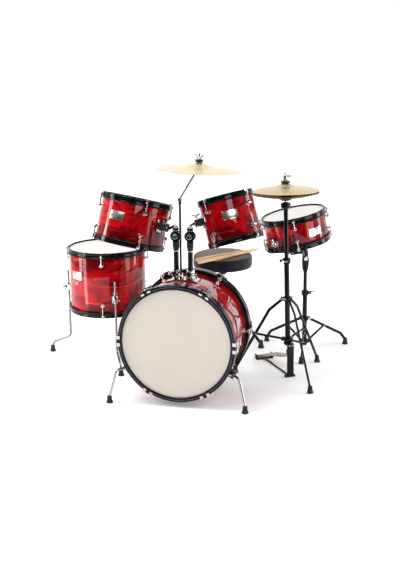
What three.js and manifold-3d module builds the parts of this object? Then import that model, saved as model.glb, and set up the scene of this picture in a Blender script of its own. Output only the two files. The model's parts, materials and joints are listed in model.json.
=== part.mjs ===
// Five-piece junior acoustic drum kit: bass drum, two hanging toms, floor tom, snare drum,
// crash cymbal, hi-hat, throne, bass pedal and a pair of sticks. Millimetres, +Z up.
// The kit is laid out from the floor point under the bass drum's centre: the front head
// looks along -Y and the drummer sits at +Y. The origin is then moved to the middle of the floor area.
import * as THREE from 'three';
import Module from 'manifold-3d';
import { mergeVertices } from 'three/addons/utils/BufferGeometryUtils.js';

const wasm = await Module();
wasm.setup();

// ---- driving dimensions -------------------------------------------------------------
const GAP = 0.3;             // air between touching pieces
const RUN = 0.5;             // radial air round a rod that slides or turns in its hole
const INCH = 25.4;
const RING = 24;             // facets round a drum
const ROUND = 10;            // facets round a tube, a collar or a felt
const ROD = 6;               // facets round a rod
const FILM = 1;              // drumhead film
const RECESS = 6;            // film below the hoop's rim
const PLY = 6;               // shell wall
const HOOK = 10;             // height of the head's own ring outside the shell
const TENSION = 2.6;         // tension rod radius
const FOOT_TOP = 28;         // height of a rubber foot

const BASS = { shell: 8 * INCH, hoop: 216, length: 286, hoopHeight: 36, axisZ: 235.5, lugs: 6 };
const TOM_LEFT = { shell: 5 * INCH, hoop: 132.5, length: 178,
  at: [-209, 121, 711], up: [0.174, 0.199, 0.964] };
const TOM_RIGHT = { shell: 4 * INCH - 1, hoop: 106, length: 180,
  at: [109, 171, 723], up: [-0.276, 0.139, 0.951] };
const FLOOR_TOM = { shell: 6 * INCH + 1, hoop: 162, bottom: 206, length: 263, at: [-429, 380] };
const SNARE = { shell: 5 * INCH, hoop: 135.5, length: 133, hoopHeight: 24,
  at: [292, 611, 588], up: [-0.192, -0.062, 0.979] };
const CRASH = { radius: 6 * INCH, at: [53, 14, 833], up: [0.045, 0.051, 0.998] };
// The hi-hat's tube leans about two degrees: from `at` on the floor it rises along `lean`.
const HATS = { radius: 5 * INCH, at: [334, 288], lean: [-20, 15, 724], turn: 34.6, edge: 724.4, open: 8 };
const STAND = { at: [343, 639], tilter: 393 };
const THRONE = { at: [-14, 667], radius: 125, top: 395, thick: 60 };
const POSTS = { y: 10, left: -34, right: 19, ratchet: 597, radius: 9.5 };
const PEDAL = { axleY: 205, axleZ: 150, heelY: 385, heelZ: 16, lean: 40, shaft: 105 };

// ---- materials ----------------------------------------------------------------------
const finish = (color, roughness, metalness) =>
  new THREE.MeshStandardMaterial({ color, roughness, metalness });
const RED = finish(0xa50f14, 0.2, 0.1);
const BLACK = finish(0x17171a, 0.35, 0.2);
const CHROME = finish(0xc9cccf, 0.12, 1);
const WHITE = finish(0xf1eee6, 0.45, 0);
const CREAM = finish(0xe9e0cc, 0.5, 0);
const BRASS = finish(0xd9c48a, 0.3, 1);
const BRONZE = finish(0x8a8176, 0.4, 0.9);
const PADDING = finish(0x1b1a1c, 0.7, 0);
const WOOD = finish(0xd3a56b, 0.5, 0);

// ---- vectors and solids -------------------------------------------------------------
const V = (p) => new THREE.Vector3(...p);
const rad = THREE.MathUtils.degToRad;
const polar = (r, deg, z = 0) => [r * Math.cos(rad(deg)), r * Math.sin(rad(deg)), z];

function solid(geometry) {
  const g = geometry.clone();
  g.deleteAttribute('normal');
  g.deleteAttribute('uv');
  const merged = mergeVertices(g, 1e-3);
  const index = merged.index.array;
  const kept = [];
  for (let i = 0; i < index.length; i += 3) {
    const [a, b, c] = [index[i], index[i + 1], index[i + 2]];
    if (a !== b && b !== c && c !== a) kept.push(a, b, c);
  }
  return new wasm.Manifold(new wasm.Mesh({
    numProp: 3,
    vertProperties: new Float32Array(merged.attributes.position.array),
    triVerts: new Uint32Array(kept),
  }));
}

const join = (geometries) => geometries.map(solid).reduce((sum, part) => sum.add(part));
const cut = (body, tools) => tools.map(solid).reduce((rest, tool) => rest.subtract(tool), body);

// A named mesh, from a joined solid, in a parent group.
function piece(name, body, material, parent) {
  const { vertProperties, triVerts } = body.getMesh();
  const geometry = new THREE.BufferGeometry();
  geometry.setAttribute('position', new THREE.BufferAttribute(new Float32Array(vertProperties), 3));
  geometry.setIndex(new THREE.BufferAttribute(new Uint32Array(triVerts), 1));
  geometry.computeVertexNormals();
  const mesh = new THREE.Mesh(geometry, material);
  mesh.name = name;
  parent.add(mesh);
}

// A body turned about +Z from [radius, height] points that run anticlockwise.
function turned(profile, facets = RING) {
  const points = profile.map(([r, z]) => new THREE.Vector2(r, z));
  return new THREE.LatheGeometry(points, facets).rotateX(Math.PI / 2);
}

const ringOf = (inner, outer, low, high, facets = RING) =>
  turned([[outer, low], [outer, high], [inner, high], [inner, low], [outer, low]], facets);

const disc = (radius, low, high, facets = RING) =>
  turned([[0, low], [radius, low], [radius, high], [0, high]], facets);

// A round bar, or a taper, between two points.
function rod(from, to, radius, end = radius, facets = ROD) {
  const a = V(from);
  const along = V(to).sub(a);
  const turn = new THREE.Quaternion().setFromUnitVectors(V([0, 1, 0]), along.clone().normalize());
  const middle = a.addScaledVector(along, 0.5);
  return new THREE.CylinderGeometry(end, radius, along.length(), facets)
    .applyQuaternion(turn).translate(middle.x, middle.y, middle.z);
}

// A round bar bent at each inner point, as straights that run into each other.
const bent = (points, radius, facets = ROD) =>
  points.slice(1).map((p, i) => rod(points[i], p, radius, radius, facets));

const block = (low, high) => {
  const size = V(high).sub(V(low));
  const middle = V(low).addScaledVector(size, 0.5);
  return new THREE.BoxGeometry(...size.toArray()).translate(...middle.toArray());
};

// A block laid out with x outward, then swung to an angle about +Z.
const swung = (geometry, deg) => geometry.rotateZ(rad(deg));

// A flat bar between two points, its width kept level.
function strap(from, to, width, thick) {
  const a = V(from);
  const along = V(to).sub(a);
  const x = along.clone().normalize();
  const y = V([0, 0, 1]).cross(x).normalize();
  const z = x.clone().cross(y);
  const frame = new THREE.Matrix4().makeBasis(x, y, z);
  frame.setPosition(a.addScaledVector(along, 0.5));
  return new THREE.BoxGeometry(along.length(), width, thick).applyMatrix4(frame);
}

const foot = (r, deg, base = 0) => rod(polar(r, deg, base), polar(r, deg, base + FOOT_TOP), 12, 8, 8);

// ---- groups -------------------------------------------------------------------------
const kit = new THREE.Group();

// A group whose +Z is `up` and whose origin is `at`, less `drop` along up.
function tilted(at, up, drop) {
  const group = new THREE.Group();
  const axis = V(up).normalize();
  group.quaternion.setFromUnitVectors(V([0, 0, 1]), axis);
  group.position.copy(V(at).addScaledVector(axis, -drop));
  kit.add(group);
  return group;
}

function standing([x, y], turn = 0) {
  const group = new THREE.Group();
  group.position.set(x, y, 0);
  group.rotation.z = rad(turn);
  kit.add(group);
  return group;
}

// ---- drums --------------------------------------------------------------------------
// Every drum is built from z = 0 at its lower rim to z = length at its upper rim.
const flip = (profile, length) => profile.map(([r, z]) => [r, length - z]).reverse();

function thinHoop({ shell, hoop, length, hoopHeight = 22 }) {
  const skirt = shell + 2.4;
  const band = shell + 4.2;
  const low = length - hoopHeight;
  const lip = length - RECESS + GAP;
  return [[skirt, low], [hoop, low], [band, low + 5], [band, length],
    [shell - 1, length], [shell - 1, lip], [skirt, lip], [skirt, low]];
}

function thickHoop({ shell, hoop, length, hoopHeight }) {
  const skirt = shell + 3.4;
  const low = length - hoopHeight;
  const lip = length - RECESS + GAP;
  return [[skirt, low], [hoop, low], [hoop, length - 3], [hoop - 3, length],
    [shell - 4, length], [shell - 4, lip], [skirt, lip], [skirt, low]];
}

function headProfile({ shell, length }, ring) {
  const film = length - RECESS;
  return [[0, film - FILM], [shell + GAP, film - FILM],
    [shell + GAP, film - HOOK], [shell + ring, film - HOOK],
    [shell + ring, film], [0, film]];
}

// Lug turrets on the shell and the claws and tension rods that reach them from the hoops.
function lugPost({ shell, length, lugDrop }, rodR, deg, isTop) {
  const z = isTop ? length - lugDrop : lugDrop;
  return [swung(block([shell - 2, -3.5, z - 3.5], [rodR - 1, 3.5, z + 3.5]), deg),
    swung(block([rodR - 4, -4, z - 5], [rodR + 4, 4, z + 5]), deg)];
}

function clawAndRod({ shell, length, lugDrop, claw }, rodR, deg, isTop) {
  const side = (z) => (isTop ? z : length - z);
  const [low, high] = [side(length - claw.deep), side(length + 1)].sort((a, b) => a - b);
  const hook = block([claw.inner, -claw.wide / 2, low], [rodR + 3.5, claw.wide / 2, high]);
  const rodEnd = side(length - lugDrop + 5 + GAP);
  return [swung(hook, deg),
    rod(polar(rodR, deg, side(length - 4)), polar(rodR, deg, rodEnd), TENSION, TENSION, 4)];
}

function drum(name, spec, group, look) {
  const { shell, length } = spec;
  const rodR = look.rodR ?? shell + 11;
  const full = { lugDrop: 50, claw: { inner: shell + 3, wide: 11, deep: 17 }, ...spec, ...look };
  const wall = ringOf(shell - PLY, shell, RECESS + FILM + GAP, length - RECESS - FILM - GAP);
  const turrets = look.angles.flatMap((deg) =>
    [...lugPost(full, rodR, deg, true), ...lugPost(full, rodR, deg, false)]);
  const body = join([wall, ...turrets, ...(look.extras ?? [])]);
  piece(`${name}_shell`, cut(body, look.holes ?? []), RED, group);

  const rim = (look.thick ? thickHoop : thinHoop)(full);
  const skin = headProfile(full, look.thick ? 3.1 : 2.1);
  for (const [place, isTop] of [[look.ends[0], true], [look.ends[1], false]]) {
    const shape = (profile) => turned(isTop ? profile : flip(profile, length));
    const claws = look.angles.flatMap((deg) => clawAndRod(full, rodR, deg, isTop));
    piece(`${name}_${place}_hoop`, join([shape(rim), ...claws]), BLACK, group);
    piece(`${name}_${place}_head`, solid(shape(skin)), isTop ? look.skin : WHITE, group);
  }
}

const around = (count, first) => Array.from({ length: count }, (_, i) => first + (i * 360) / count);

// ---- bass drum and its spurs --------------------------------------------------------
// The front spur block sits on the shell 30 degrees below the side; the spur leaves it
// outward and forward, then turns down to its rubber foot.
const SPUR = { deg: -30, r: 217, y: -88, bend: [228, -130, 120], foot: [252, -145] };

function spurLine(side) {
  const [x, , z] = polar(SPUR.r, SPUR.deg);
  const entry = V([side * x, SPUR.y, BASS.axisZ + polar(SPUR.r, SPUR.deg)[1] + z]);
  const bend = V([side * SPUR.bend[0], SPUR.bend[1], SPUR.bend[2]]);
  const along = bend.clone().sub(entry).normalize();
  return { inner: entry.clone().addScaledVector(along, -10).toArray(), bend: bend.toArray() };
}

function bassDrum() {
  const group = new THREE.Group();
  group.position.set(0, BASS.length / 2, BASS.axisZ);
  group.rotation.x = Math.PI / 2;
  kit.add(group);
  const toDrum = (g) => g.translate(0, -BASS.length / 2, -BASS.axisZ).rotateX(-Math.PI / 2);
  const blockZ = BASS.length / 2 - SPUR.y;
  const spurBlock = (deg) => swung(block([198, -13, blockZ - 14], [236, 13, blockZ + 14]), deg);
  const spurHole = (side) => toDrum(rod(spurLine(side).inner, spurLine(side).bend, 6, 6, ROUND));
  const postHole = ([x, y], r) => toDrum(rod([x, y, 380], [x, y, 480], r));
  drum('bass', BASS, group, {
    thick: true, ends: ['front', 'rear'], skin: CREAM, angles: around(BASS.lugs, 0), lugDrop: 65,
    rodR: BASS.hoop + 4, claw: { inner: BASS.hoop - 9, wide: 40, deep: 26 },
    extras: [spurBlock(SPUR.deg), spurBlock(180 - SPUR.deg)],
    holes: [spurHole(1), spurHole(-1),
      postHole([POSTS.left, POSTS.y], 12), postHole([POSTS.right, POSTS.y], 12),
      postHole(CRASH_ROD, 7)],
  });
}

function spurs() {
  for (const [name, side] of [['spur_left', -1], ['spur_right', 1]]) {
    const { inner, bend } = spurLine(side);
    const [x, y] = [side * SPUR.foot[0], SPUR.foot[1]];
    const rubber = rod([x, y, 0], [x, y, FOOT_TOP], 12, 8, 8);
    piece(name, join([...bent([inner, bend, [x, y, FOOT_TOP - 6]], 5), rubber]), CHROME, kit);
  }
}

// ---- tom holder on the bass drum ----------------------------------------------------
const CRASH_ROD = [-10, -15];

function tomHolder() {
  const saddleTop = BASS.axisZ + BASS.shell + 7;
  const sockets = [[POSTS.left, POSTS.y], [POSTS.right, POSTS.y]];
  const body = join([
    block([-62, -26, BASS.axisZ + 190], [47, 42, saddleTop]),
    ...sockets.map(([x, y]) => rod([x, y, saddleTop - 2], [x, y, 474], 15, 15, ROUND)),
    ...sockets.map(([x, y]) => block([x - 8, y - 27, saddleTop + 6], [x + 8, y - 10, 470])),
    ...sockets.map(([x, y]) => rod([x - 17, y - 20, 462], [x + 17, y - 20, 462], 4)),
    rod([...CRASH_ROD, saddleTop - 2], [...CRASH_ROD, 466], 9, 9, ROUND),
  ]);
  const drumBelly = rod([0, -90, BASS.axisZ], [0, 90, BASS.axisZ], BASS.shell + GAP, BASS.shell + GAP, RING);
  const bores = [
    ...sockets.map(([x, y]) => rod([x, y, 380], [x, y, 490], POSTS.radius + RUN, POSTS.radius + RUN, ROUND)),
    rod([...CRASH_ROD, 380], [...CRASH_ROD, 490], 4 + RUN, 4 + RUN, ROUND),
  ];
  piece('tom_holder_base', cut(body, [drumBelly, ...bores]), CHROME, kit);
}

// Posts end in a fork that holds the toothed knuckle of the arm.
const KNUCKLE = { radius: 19, half: 7, ear: 5 };

function tomPost(name, x) {
  const { y, ratchet, radius } = POSTS;
  const gap = KNUCKLE.half + GAP;
  const ears = [-1, 1].map((side) => {
    const faces = [y + side * gap, y + side * (gap + KNUCKLE.ear)];
    return rod([x, faces[0], ratchet], [x, faces[1], ratchet], KNUCKLE.radius, KNUCKLE.radius, ROUND);
  });
  const stems = [-1, 1].map((side) => {
    const ys = [y + side * gap, y + side * (gap + KNUCKLE.ear)].sort((a, b) => a - b);
    return block([x - 9, ys[0], ratchet - 34], [x + 9, ys[1], ratchet]);
  });
  const bridge = rod([x, y, ratchet - 40], [x, y, ratchet - KNUCKLE.radius - 3],
    gap + KNUCKLE.ear, gap + KNUCKLE.ear, ROUND);
  const tube = rod([x, y, 392], [x, y, ratchet - 30], radius, radius, ROUND);
  piece(name, join([tube, bridge, ...ears, ...stems]), BLACK, kit);
}

// The arm leaves the knuckle upward, turns level and ends inside the tom's bracket.
function tomArm(name, x, path) {
  const { y, ratchet } = POSTS;
  const knuckle = rod([x, y - KNUCKLE.half, ratchet], [x, y + KNUCKLE.half, ratchet],
    KNUCKLE.radius - 1, KNUCKLE.radius - 1, ROUND);
  const sleeve = rod([x, y, ratchet + 10], [x, y, ratchet + 30], KNUCKLE.half, KNUCKLE.half, ROUND);
  piece(name, join([knuckle, sleeve, ...bent([[x, y, ratchet + 26], ...path], ARM_R, ROUND)]), CHROME, kit);
}

const ARM_R = 5.5;

// ---- toms ---------------------------------------------------------------------------
// Bracket on a tom: a block on the shell at an angle, bored along its outward direction.
const BRACKET = { out: 32, wide: 30, high: 36 };

function tom(name, spec, angles, bracketDeg, bracketLevel) {
  const group = tilted(spec.at, spec.up, spec.length);
  const { shell } = spec;
  const z = bracketLevel;
  const body = block([shell - 3, -BRACKET.wide / 2, z - BRACKET.high / 2],
    [shell + BRACKET.out, BRACKET.wide / 2, z + BRACKET.high / 2]);
  const boreR = ARM_R + 2 * RUN;
  const bore = rod([shell + 4, 0, z], [shell + BRACKET.out + 5, 0, z], boreR, boreR, ROUND);
  drum(name, spec, group, {
    ends: ['top', 'bottom'], skin: WHITE, angles,
    extras: [swung(body, bracketDeg)], holes: [swung(bore, bracketDeg)],
  });
  group.updateMatrixWorld();
  const out = (r) => V(polar(r, bracketDeg, z)).applyMatrix4(group.matrixWorld).toArray();
  return [out(shell + BRACKET.out + 14), out(shell + 8)];
}

function toms() {
  const leftArm = tom('tom_left', TOM_LEFT, around(4, -57.6), -22, 96);
  const rightArm = tom('tom_right', TOM_RIGHT, around(4, -29.6), 212, 104);
  const level = POSTS.ratchet + 38;
  tomArm('tom_arm_left', POSTS.left, [[POSTS.left, POSTS.y, level], ...leftArm]);
  tomArm('tom_arm_right', POSTS.right, [[POSTS.right, POSTS.y, level], ...rightArm]);
}

// ---- cymbals ------------------------------------------------------------------------
// Bow and bell from the edge at z = 0 to the flat round the hole, 1.2 thick.
function cymbalProfile(radius, rise, bell) {
  const steps = [1, 0.7, 0.3];
  const under = steps.map((s) => [radius * s, (rise - bell) * (1 - s ** 2) / (1 - 0.09)]);
  const foot = radius * 0.3;
  const cup = [[foot * 0.6, rise - bell * 0.2], [6.5, rise]];
  const lower = [...under, ...cup];
  const thick = 1.2;
  const upper = lower.map(([r, z]) => [r, z + thick]);
  return [...lower.slice().reverse(), ...upper, lower.at(-1)];
}

function crash() {
  const group = tilted(CRASH.at, CRASH.up, 0);
  const rise = 26;
  const joint = [...CRASH_ROD, 733];
  group.updateMatrixWorld();
  const local = (p) => V(p).applyMatrix4(group.matrixWorld).toArray();
  const top = local([0, 0, rise + 36]);
  const under = local([0, 0, rise - 8]);
  const [x, y, z] = joint;
  piece('crash_rod', join([rod([x, y, 398], [x, y, z - 7], 4),
    rod([x, y + 2.5, z], [x, y + 8, z], 6.5, 6.5, ROUND),
    block([x - 4.2, y - 4.2, z - 16], [x + 4.2, y + 7, z - 7]),
    block([x - 4.2, y + 2.5, z - 16], [x + 4.2, y + 7, z])]), BLACK, kit);
  const felt = (low, high, r) => rod(local([0, 0, low]), local([0, 0, high]), r, r, ROUND);
  const wings = rod(local([-13, 0, rise + 30]), local([13, 0, rise + 30]), 2.5);
  const knuckle = rod([x, y - 6, z], [x, y + 2.2, z], 6.2, 6.2, ROUND);
  const start = [x, y - 4, z + 2];
  piece('crash_arm', join([knuckle, ...bent([start, under, top], 3.3),
    felt(rise - 12, rise - 1.8, 11), felt(rise + 3, rise + 15, 13.5),
    felt(rise + 15, rise + 28, 6), wings]), CHROME, kit);
  piece('crash_cymbal', solid(turned(cymbalProfile(CRASH.radius, rise, 14))), BRASS, group);
}

// ---- floor tom ----------------------------------------------------------------------
const LEG = { r: 176, rod: 4.5, angles: [178, 298, 58], bracketZ: 287, top: 355, knee: 74, foot: 261 };

function floorTom() {
  const { at, bottom, length, shell } = FLOOR_TOM;
  const group = standing(at);
  const drumGroup = new THREE.Group();
  drumGroup.position.z = bottom;
  group.add(drumGroup);
  const level = LEG.bracketZ - bottom;
  const bracket = (deg) => swung(block([shell - 3, -14, level - 15], [LEG.r + 11, 14, level + 15]), deg);
  const bore = (deg) => rod(polar(LEG.r, deg, level - 40), polar(LEG.r, deg, level + 40), LEG.rod + RUN);
  drum('floor_tom', FLOOR_TOM, drumGroup, {
    ends: ['top', 'bottom'], skin: WHITE, angles: around(4, 10.7),
    extras: LEG.angles.map(bracket), holes: LEG.angles.map(bore),
  });
  ['left', 'front', 'rear'].forEach((side, i) => {
    const deg = LEG.angles[i];
    const path = [polar(LEG.r, deg, LEG.top), polar(LEG.r, deg, LEG.knee), polar(LEG.foot - 8, deg, 44),
      polar(LEG.foot, deg, FOOT_TOP - 6)];
    piece(`floor_tom_leg_${side}`, join([...bent(path, LEG.rod), foot(LEG.foot, deg)]), CHROME, group);
  });
}

// ---- tripods ------------------------------------------------------------------------
// Collars at two heights carry three legs and the braces that spread them.
// The legs are flat bars on edge. A foot's base can be set above or below local zero.
function tripod({ tube, upper, lower, knee, footR, angles, braceAt, baseOf = () => 0 }) {
  const collar = (z) => ringOf(tube + GAP, tube + 7, z - 8, z + 8, ROUND);
  const legs = angles.flatMap((deg) => {
    const at = ([r, z]) => polar(r, deg, z);
    const base = baseOf(polar(footR, deg));
    return [strap(at([tube + 4, upper]), at(knee), 6, 12),
      strap(at(knee), at([footR - 2, base + FOOT_TOP - 8]), 6, 12),
      strap(at([tube + 4, lower]), at(braceAt), 4, 9), foot(footR, deg, base)];
  });
  return join([collar(upper), collar(lower), ...legs]);
}

// ---- hi-hat -------------------------------------------------------------------------
const HAT_FEET = [66, 182, 302];
const HAT_TUBE = { outer: 10, inner: 8.6, low: 126, top: 460 };
const HAT_UPPER = { radius: 8, low: 232, top: 672 };
const HAT_BOARD = { heel: 234, heelZ: 14, toeY: 24, toeZ: 74 };

function hiHat() {
  const flat = standing(HATS.at, HATS.turn);
  const group = new THREE.Group();
  const along = V(HATS.lean).normalize().applyAxisAngle(V([0, 0, 1]), -rad(HATS.turn));
  group.quaternion.setFromUnitVectors(V([0, 0, 1]), along);
  flat.add(group);
  const leaning = (g) => g.applyQuaternion(group.quaternion);
  // The floor's height in the leaning frame, plus what lifts a foot's outer edge clear of it.
  const floorward = V([0, 0, 1]).applyQuaternion(group.quaternion.clone().invert());
  const baseOf = ([x, y]) => 0.45 - (floorward.x * x + floorward.y * y) / floorward.z;
  const { outer, inner, low, top } = HAT_TUBE;
  const ear = (x) =>
    block([x - 3, HAT_BOARD.heel - 10, 2], [x + 3, HAT_BOARD.heel + 12, HAT_BOARD.heelZ + 7]);
  const plateY = -14;
  const frame = join([
    block([-12.5, plateY - 5, 0], [12.5, plateY, 139]), block([-20, plateY - 6, 0], [20, plateY + 8, 5]),
    block([-11, plateY - 2, 118], [9, plateY + 14, 138]),
    leaning(rod([0, 0, low], [0, 0, 139], outer + 6, outer + 6, ROUND)),
    leaning(rod([0, 0, low + 10], [0, 0, top - 8], outer, outer, ROUND)),
    leaning(rod([0, 0, top - 12], [0, 0, top + 8], outer + 5, outer + 5, ROUND)),
    leaning(block([-outer - 18, -7, top - 8], [-outer - 2, 7, top + 4])),
    block([-5, plateY + 2, 0], [5, HAT_BOARD.heel, 4]),
    block([-38, HAT_BOARD.heel - 12, 0], [38, HAT_BOARD.heel + 30, 4]), ear(-35), ear(35),
  ]);
  piece('hihat_frame', cut(frame, [leaning(rod([0, 0, 90], [0, 0, 480], inner, inner, ROUND))]), BLACK, flat);
  piece('hihat_tripod', tripod({ tube: outer, upper: 309, lower: 149, knee: [70, 264], footR: 210,
    angles: HAT_FEET.map((deg) => deg - HATS.turn), braceAt: [124, 167], baseOf }), BLACK, group);

  const cupZ = HAT_UPPER.top;
  const upper = join([rod([0, 0, HAT_UPPER.low], [0, 0, cupZ], HAT_UPPER.radius, HAT_UPPER.radius, ROUND),
    turned([[0, cupZ - 18], [9, cupZ - 18], [19, cupZ - 10], [19, cupZ + 7], [0, cupZ + 7]], ROUND),
    rod([0, 0, cupZ], [0, 0, cupZ + 9.6], 11, 11, ROUND)]);
  piece('hihat_upper_tube', cut(upper, [rod([0, 0, 200], [0, 0, 720], 4.4, 4.4, ROUND)]), BLACK, group);

  const boardLow = HAT_BOARD.heelZ;
  const heel = [0, HAT_BOARD.heel, boardLow];
  const toe = [0, HAT_BOARD.toeY, HAT_BOARD.toeZ];
  piece('hihat_footboard', join([strap(heel, toe, 60, 6),
    rod([-31, HAT_BOARD.heel, boardLow], [31, HAT_BOARD.heel, boardLow], 5),
    strap([0, HAT_BOARD.toeY + 8, HAT_BOARD.toeZ - 2], [0, -6, HAT_BOARD.toeZ + 8], 16, 5)]), BRONZE, flat);

  const strapLow = HAT_BOARD.toeZ + 12;
  piece('hihat_pull_rod', join([rod([0, 0, strapLow + 14], [0, 0, 796], 3),
    block([-7, -1.5, strapLow], [7, 1.5, strapLow + 18])]), CHROME, group);

  const rise = 28;
  const bow = cymbalProfile(HATS.radius, rise, 12);
  const under = HATS.edge - HATS.open;
  const topCymbal = new THREE.Group();
  topCymbal.position.z = HATS.edge;
  group.add(topCymbal);
  const bottomCymbal = new THREE.Group();
  bottomCymbal.position.z = under;
  group.add(bottomCymbal);
  piece('hihat_top_cymbal', solid(turned(bow)), BRASS, topCymbal);
  piece('hihat_bottom_cymbal', solid(turned(flip(bow, 0))), BRASS, bottomCymbal);
  const seat = HATS.edge + rise;
  const clutch = join([disc(5.6, seat - 14, seat + 34, ROUND), disc(12, seat - 12, seat - 2.2, ROUND),
    disc(17, seat + 1.8, seat + 12, ROUND * 2), disc(9, seat + 12, seat + 30, ROUND),
    rod([0, 0, seat + 24], [20, 0, seat + 24], 3)]);
  piece('hihat_clutch', cut(clutch,
    [rod([0, 0, seat - 30], [0, 0, seat + 50], 3 + RUN, 3 + RUN, ROUND)]), CHROME, group);
}

// ---- snare drum and its stand -------------------------------------------------------
const SNARE_FEET = [35, 155, 275];
const SNARE_TUBE = { outer: 9.5, inner: 8, low: 20, top: 247 };
const TILT_AXIS = new THREE.Vector3(-SNARE.up[1], SNARE.up[0], 0).normalize();
const THROW_OFF = { deg: 236, low: 28, high: 58 };

function snareDrum() {
  const group = tilted(SNARE.at, SNARE.up, SNARE.length);
  const { shell } = SNARE;
  const { deg, low, high } = THROW_OFF;
  const strainer = swung(block([shell - 3, -13, low], [shell + 13, 13, high - 10]), deg);
  drum('snare', SNARE, group, {
    ends: ['top', 'bottom'], skin: WHITE, angles: around(4, -80.6), extras: [strainer], lugDrop: 42,
  });
  const lever = join([block([shell + 14.2, -8, low + 6], [shell + 18.4, 8, high + 16])]);
  const grip = block([shell + 14.2, -8, high + 10], [shell + 26, 8, high + 16]);
  const pin = rod([shell + 17, -11, low + 8], [shell + 17, 11, low + 8], 3.6);
  piece('snare_throw_off', lever.add(solid(grip)).add(solid(pin)).rotate([0, 0, deg]), CHROME, group);
  piece('snare_wires', solid(swung(block([-100, -20, 3], [100, 20, 5]), deg)), CHROME, group);
  return group;
}

function snareBasket(snareGroup) {
  snareGroup.updateMatrixWorld();
  const toDrum = snareGroup.matrixWorld.clone().invert();
  const hinge = V([...STAND.at, STAND.tilter]);
  const pivot = hinge.clone().applyMatrix4(toDrum).toArray();
  const barrelEnd = (side) =>
    hinge.clone().addScaledVector(TILT_AXIS, side * 6.5).applyMatrix4(toDrum).toArray();
  const reach = SNARE.hoop + 9;
  const arm = (deg) => [
    ...bent([polar(4, deg, -32), polar(reach - 8, deg, -25),
      polar(reach, deg, -15), polar(reach, deg, 12)], 4),
    swung(block([SNARE.shell - 3, -7, -27], [SNARE.shell + 7, 7, -GAP]), deg),
    rod(polar(reach, deg, 0), polar(reach, deg, 14), 5.5),
  ];
  const group = new THREE.Group();
  group.quaternion.copy(snareGroup.quaternion);
  group.position.copy(snareGroup.position);
  kit.add(group);
  piece('snare_basket', join([disc(17, -41, -24, ROUND),
    ...around(3, 51).flatMap(arm), block([-40, -12, -42], [-8, 12, -22]),
    ...bent([[0, 0, -32], [pivot[0] * 0.55, pivot[1] * 0.55, -46], pivot], 5),
    rod(barrelEnd(-1), barrelEnd(1), 13.5, 13.5, ROUND)]), BLACK, group);
}

function snareStand() {
  const group = standing(STAND.at);
  const { outer, inner, low, top } = SNARE_TUBE;
  const base = join([rod([0, 0, low], [0, 0, top], outer, outer, ROUND),
    rod([0, 0, top - 8], [0, 0, top + 10], 16, 16, ROUND),
    block([12, -6, top - 5], [28, 6, top + 7])]);
  piece('snare_stand_base', cut(base, [rod([0, 0, 40], [0, 0, 300], inner, inner, ROUND)]), BLACK, group);
  piece('snare_stand_tripod', tripod({ tube: outer, upper: 136, lower: 36, knee: [172, 50], footR: 194,
    angles: SNARE_FEET, braceAt: [90, 95] }), BLACK, group);
  const turn = Math.atan2(TILT_AXIS.y, TILT_AXIS.x);
  const ears = [-1, 1].map((side) => {
    const xs = [side * 7, side * 13].sort((a, b) => a - b);
    return block([xs[0], -13.5, STAND.tilter - 26], [xs[1], 13.5, STAND.tilter + 8]).rotateZ(turn);
  });
  const head = rod([0, 0, STAND.tilter - 44], [0, 0, STAND.tilter - 15], 12.5, 14.5, ROUND);
  piece('snare_stand_upper_tube', join([rod([0, 0, 120], [0, 0, STAND.tilter - 20], 7.4, 7.4, ROUND),
    head, ...ears]), BLACK, group);
}

// ---- throne and sticks --------------------------------------------------------------
function throne() {
  const group = standing(THRONE.at);
  const { radius, top, thick } = THRONE;
  const low = top - thick;
  const soft = [[0, low], [radius - 8, low], [radius, low + 8], [radius, top - 14], [radius - 5, top - 4],
    [radius - 16, top], [0, top]];
  piece('throne_cushion', solid(turned(soft)), PADDING, group);
  piece('throne_post', join([disc(70, low - 5, low - GAP, ROUND),
    rod([0, 0, 130], [0, 0, low - 2], 11, 11, ROUND),
    disc(19, low - 26, low - 3, ROUND)]), BLACK, group);
  const legs = around(3, -15.6);
  const at = (r, deg, z) => polar(r, deg, z);
  const base = join([rod([0, 0, 70], [0, 0, 228], 14, 14, ROUND),
    rod([0, 0, 214], [0, 0, 240], 19, 19, ROUND),
    block([16, -6, 220], [32, 6, 234]), disc(18, 86, 102, ROUND), disc(20, 190, 206, ROUND),
    ...legs.flatMap((deg) => [strap(at(12, deg, 198), at(140, deg, 66), 7, 13),
      strap(at(140, deg, 66), at(180, deg, 18), 7, 13),
      strap(at(12, deg, 94), at(92, deg, 114), 4, 10), foot(182, deg)])]);
  piece('throne_base', cut(base, [rod([0, 0, 100], [0, 0, 260], 11.6, 11.6, ROUND)]), BLACK, group);
}

// A stick: butt, long taper and a small round tip.
const STICK = { length: 335, radius: 6.5, rest: THRONE.top + 6.9 };

function sticks() {
  const { length, radius, rest } = STICK;
  const profile = [[0, 0], [radius - 2, 0], [radius, 3],
    [radius, length * 0.68], [3.4, length - 14], [4.6, length - 9],
    [4.2, length - 2], [0, length]];
  for (const [name, [x, y], heading] of STICK_PLACES) {
    const group = new THREE.Group();
    group.position.set(x, y, rest);
    group.rotation.z = rad(heading);
    kit.add(group);
    piece(name, solid(turned(profile, 12).rotateY(Math.PI / 2)), WOOD, group);
  }
}

const STICK_PLACES = [['stick_front', [-62, 434], 57], ['stick_rear', [-85, 480], 51]];

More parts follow.
